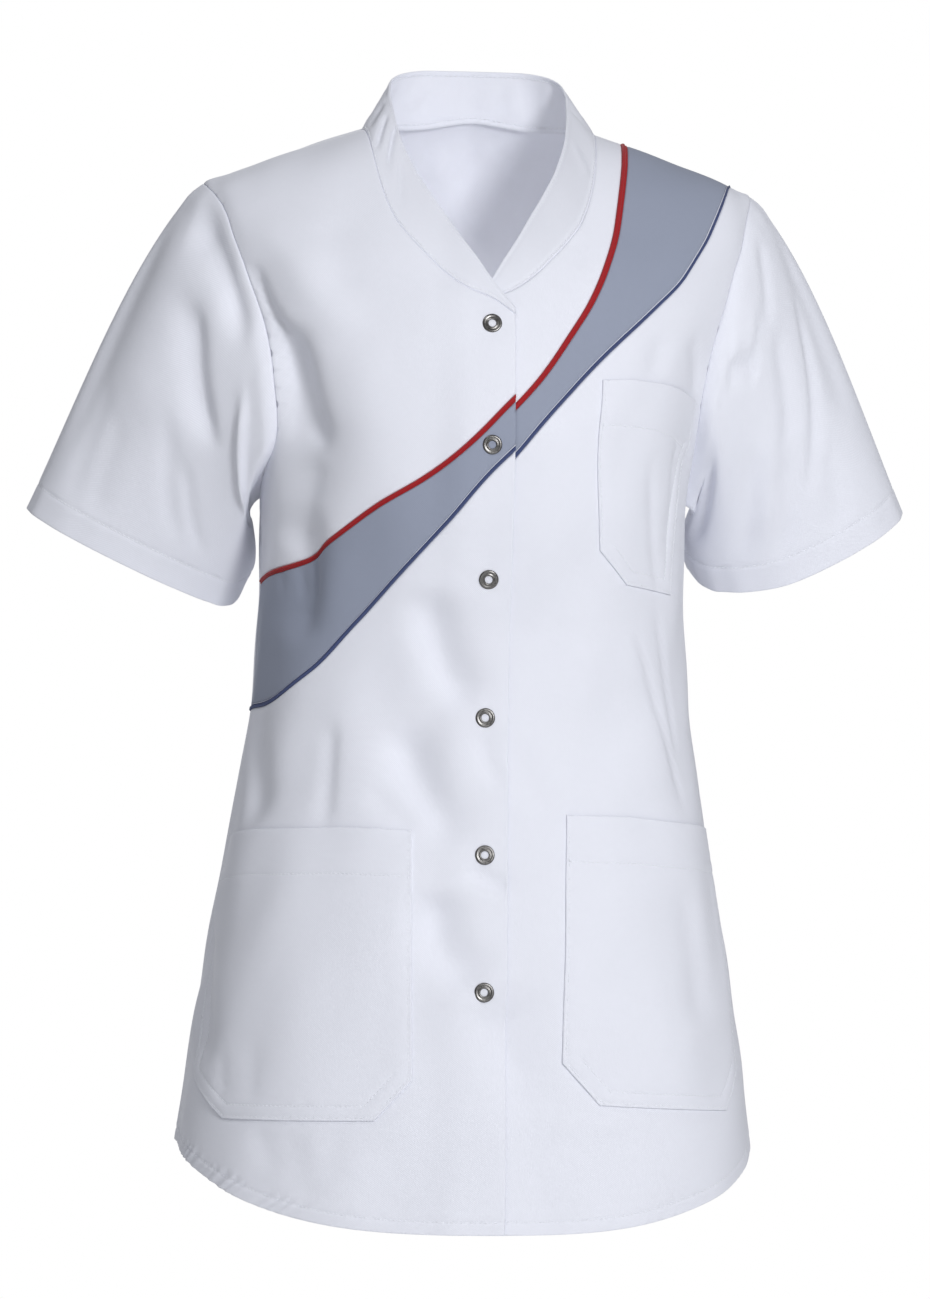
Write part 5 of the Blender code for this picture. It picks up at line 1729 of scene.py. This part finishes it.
def cloth_material(name, colour, twill=TWILL, tint=TINT):
    """Twill cloth: diagonal ribs, yarns, slight slubs and uneven colour."""
    material, tree, shader = new_material(name)
    weave = tree.nodes.new("ShaderNodeAttribute")
    weave.attribute_name = "weave"
    spot = weave.outputs["Vector"]
    ribs = wave_node(tree, spot, twill, "DIAGONAL")
    yarns = wave_node(tree, spot, twill * YARN_SHARE, "X")
    slubs = noise_node(tree, spot, SLUB_SIZE)
    clouds = noise_node(tree, spot, CLOUD_SIZE)
    fibres = noise_node(tree, spot, FIBRE_SIZE, 2.0)
    height = summed(tree, (ribs, 0.6), (yarns, 0.3), (slubs, 0.9), (fibres, 0.35))
    bumped(tree, shader, height, CLOTH_BUMP, 0.7)
    shade = summed(tree, (slubs, 0.3), (clouds, 0.5), (ribs, 0.2))
    two_tone(tree, shader, shade, [c * (1 - tint) for c in colour],
             [min(1.0, c * (1 + tint)) for c in colour])
    uneven_roughness(tree, shader, slubs, 0.12, 0.74)
    shader.inputs["Sheen Weight"].default_value = 0.12
    shader.inputs["Sheen Roughness"].default_value = 0.5
    shader.inputs["Specular IOR Level"].default_value = 0.3
    return material


def thread_material():
    """White thread with a fine twist."""
    material, tree, shader = new_material("thread_white")
    position = tree.nodes.new("ShaderNodeTexCoord").outputs["Object"]
    two_tone(tree, shader, noise_node(tree, position, TWIST_SIZE), *THREAD_TONES)
    shader.inputs["Roughness"].default_value = 0.55
    return material


def metal_material():
    """Dark nickel, slightly worn."""
    material, tree, shader = new_material("nickel")
    position = tree.nodes.new("ShaderNodeTexCoord").outputs["Object"]
    wear = noise_node(tree, position, WEAR_SIZE)
    low, high = ([c * share for c in NICKEL] for share in NICKEL_SHARES)
    two_tone(tree, shader, wear, low, high)
    shader.inputs["Metallic"].default_value = 1.0
    uneven_roughness(tree, shader, wear, 0.25, 0.18)
    bumped(tree, shader, noise_node(tree, position, SCRATCH_SIZE), NICKEL_BUMP)
    return material


# ---------------------------------------------------------------- light and camera
CAMERA_TURN = math.radians(-5.0)
CAMERA_ROLL = math.radians(0.9)
CAMERA_DISTANCE = 3.2
CAMERA_TARGET = Vector((0.0, 0.0, -0.337))
SCALE = 0.00065           # size of one pixel at the target
IMAGE = (930, 1299)
TARGET_PIXEL = (470, 650)
SENSOR = 36.0
FLOOR_LEVEL = -1.4        # a wearer of this size stands here
FLOOR_RADIUS = 2.6
FLOOR_COLOUR = (0.86, 0.865, 0.87)
# Lights: place, size, power and colour.
LIGHTS = {
    "key": ((1.0, -2.75, 0.5), 0.7, 49.0, (0.98, 0.985, 1.0)),
    "left": ((-1.1, -1.3, 2.3), 0.8, 13.5, (0.97, 0.98, 1.0)),
    "low": ((0.0, -2.6, -1.1), 0.8, 4.0, (0.97, 0.98, 1.0)),
    "behind": ((-0.4, 3.0, 0.6), 1.8, 34.0, (1.0, 1.0, 1.0)),


}
# A soft light in the hollow brightens the inside of the back.
INNER_LIGHT = ((0.0, -0.045, -0.2), 0.1, 0.125)
INNER_TARGET = (0.0, 0.1, -0.07)
WORLD_LIGHT = 0.28
WORLD_COLOUR = (0.95, 0.965, 1.0)


def add_light(name, spot, target, size, power, colour):
    """A round soft light, turned to its target."""
    lamp = bpy.data.lights.new(name, "AREA")
    lamp.shape = "DISK"
    lamp.size = size
    lamp.energy = power
    lamp.color = colour
    light = bpy.data.objects.new(name, lamp)
    light.location = spot
    light.rotation_euler = (target - Vector(spot)).to_track_quat("-Z", "Y").to_euler()
    bpy.context.scene.collection.objects.link(light)


def stage():
    """Floor, soft light, bright surroundings and the camera."""
    scene = bpy.context.scene
    bpy.ops.mesh.primitive_circle_add(vertices=96, radius=FLOOR_RADIUS, fill_type="NGON",
                                      location=(0.0, 0.0, FLOOR_LEVEL))
    floor = bpy.context.object
    floor.name = "studio_floor"
    material, _, shader = new_material("studio_floor")
    shader.inputs["Base Color"].default_value = (*FLOOR_COLOUR, 1.0)
    shader.inputs["Roughness"].default_value = 0.9
    floor.data.materials.append(material)
    for name, (spot, size, power, colour) in LIGHTS.items():
        add_light(name, spot, CAMERA_TARGET, size, power, colour)
    spot, size, power = INNER_LIGHT
    add_light("inner", spot, Vector(INNER_TARGET), size, power, (1.0, 1.0, 1.0))
    world = bpy.data.worlds.new("studio")
    world.use_nodes = True
    tree = world.node_tree
    tree.nodes["Background"].inputs["Color"].default_value = (*WORLD_COLOUR, 1.0)
    tree.nodes["Background"].inputs["Strength"].default_value = WORLD_LIGHT
    seen = tree.nodes.new("ShaderNodeBackground")
    seen.inputs["Color"].default_value = (1.0, 1.0, 1.0, 1.0)
    seen.inputs["Strength"].default_value = 1.0
    path = tree.nodes.new("ShaderNodeLightPath")
    mix = tree.nodes.new("ShaderNodeMixShader")
    tree.links.new(path.outputs["Is Camera Ray"], mix.inputs[0])
    tree.links.new(tree.nodes["Background"].outputs[0], mix.inputs[1])
    tree.links.new(seen.outputs[0], mix.inputs[2])
    tree.links.new(mix.outputs[0], tree.nodes["World Output"].inputs["Surface"])
    scene.world = world
    scene.view_settings.view_transform = "Standard"
    camera_data = bpy.data.cameras.new("camera")
    camera_data.sensor_width = SENSOR
    camera_data.lens = CAMERA_DISTANCE / SCALE * SENSOR / IMAGE[1]
    camera_data.shift_x = (IMAGE[0] / 2 - TARGET_PIXEL[0]) / IMAGE[1]
    camera_data.shift_y = (TARGET_PIXEL[1] - IMAGE[1] / 2) / IMAGE[1]
    camera = bpy.data.objects.new("camera", camera_data)
    away = Vector((math.sin(CAMERA_TURN), -math.cos(CAMERA_TURN), 0.0))
    camera.location = CAMERA_TARGET + away * CAMERA_DISTANCE
    aim = (-away).to_track_quat("-Z", "Y").to_matrix()
    camera.matrix_world = (Matrix.Translation(camera.location)
                           @ (aim @ Matrix.Rotation(CAMERA_ROLL, 3, "Z")).to_4x4())
    scene.collection.objects.link(camera)
    scene.camera = camera


def main():
    """Make the finishes, all pieces and the surroundings."""
    cloths = {
        "white": cloth_material("white_twill", WHITE),
        "slate": cloth_material("slate_twill", SLATE, tint=SLATE_TINT),
        "red": cloth_material("red_cord", RED, twill=CORD_TWILL, tint=CORD_TINT),
        "blue": cloth_material("blue_cord", BLUE, twill=CORD_TWILL, tint=CORD_TINT),
    }
    metal = metal_material()
    thread = thread_material()
    ARMHOLES.extend(armhole_curve(side)[::ARMHOLE_SKIP] for side in (-1, 1))
    BODY_CREASES.extend(crease_lines(FRONT_CREASES, front_spot))
    BODY_CREASES.extend(crease_lines(BACK_CREASES, back_spot))
    back(cloths)
    right_front(cloths)
    left_front(cloths)
    for node, (corners, top) in POCKETS.items():
        pocket(node, corners, top, cloths, lifted=node == "pocket_right")
    collar(cloths)
    sleeve("sleeve_right", -1, RIGHT_SLEEVE_CREASES, cloths)
    sleeve("sleeve_left", 1, LEFT_SLEEVE_CREASES, cloths)
    for group in list(THREADS):
        make_threads(group, thread)
    for number, level in enumerate(SNAP_HEIGHTS, start=1):
        snap(number, level, metal)
    stage()


main()
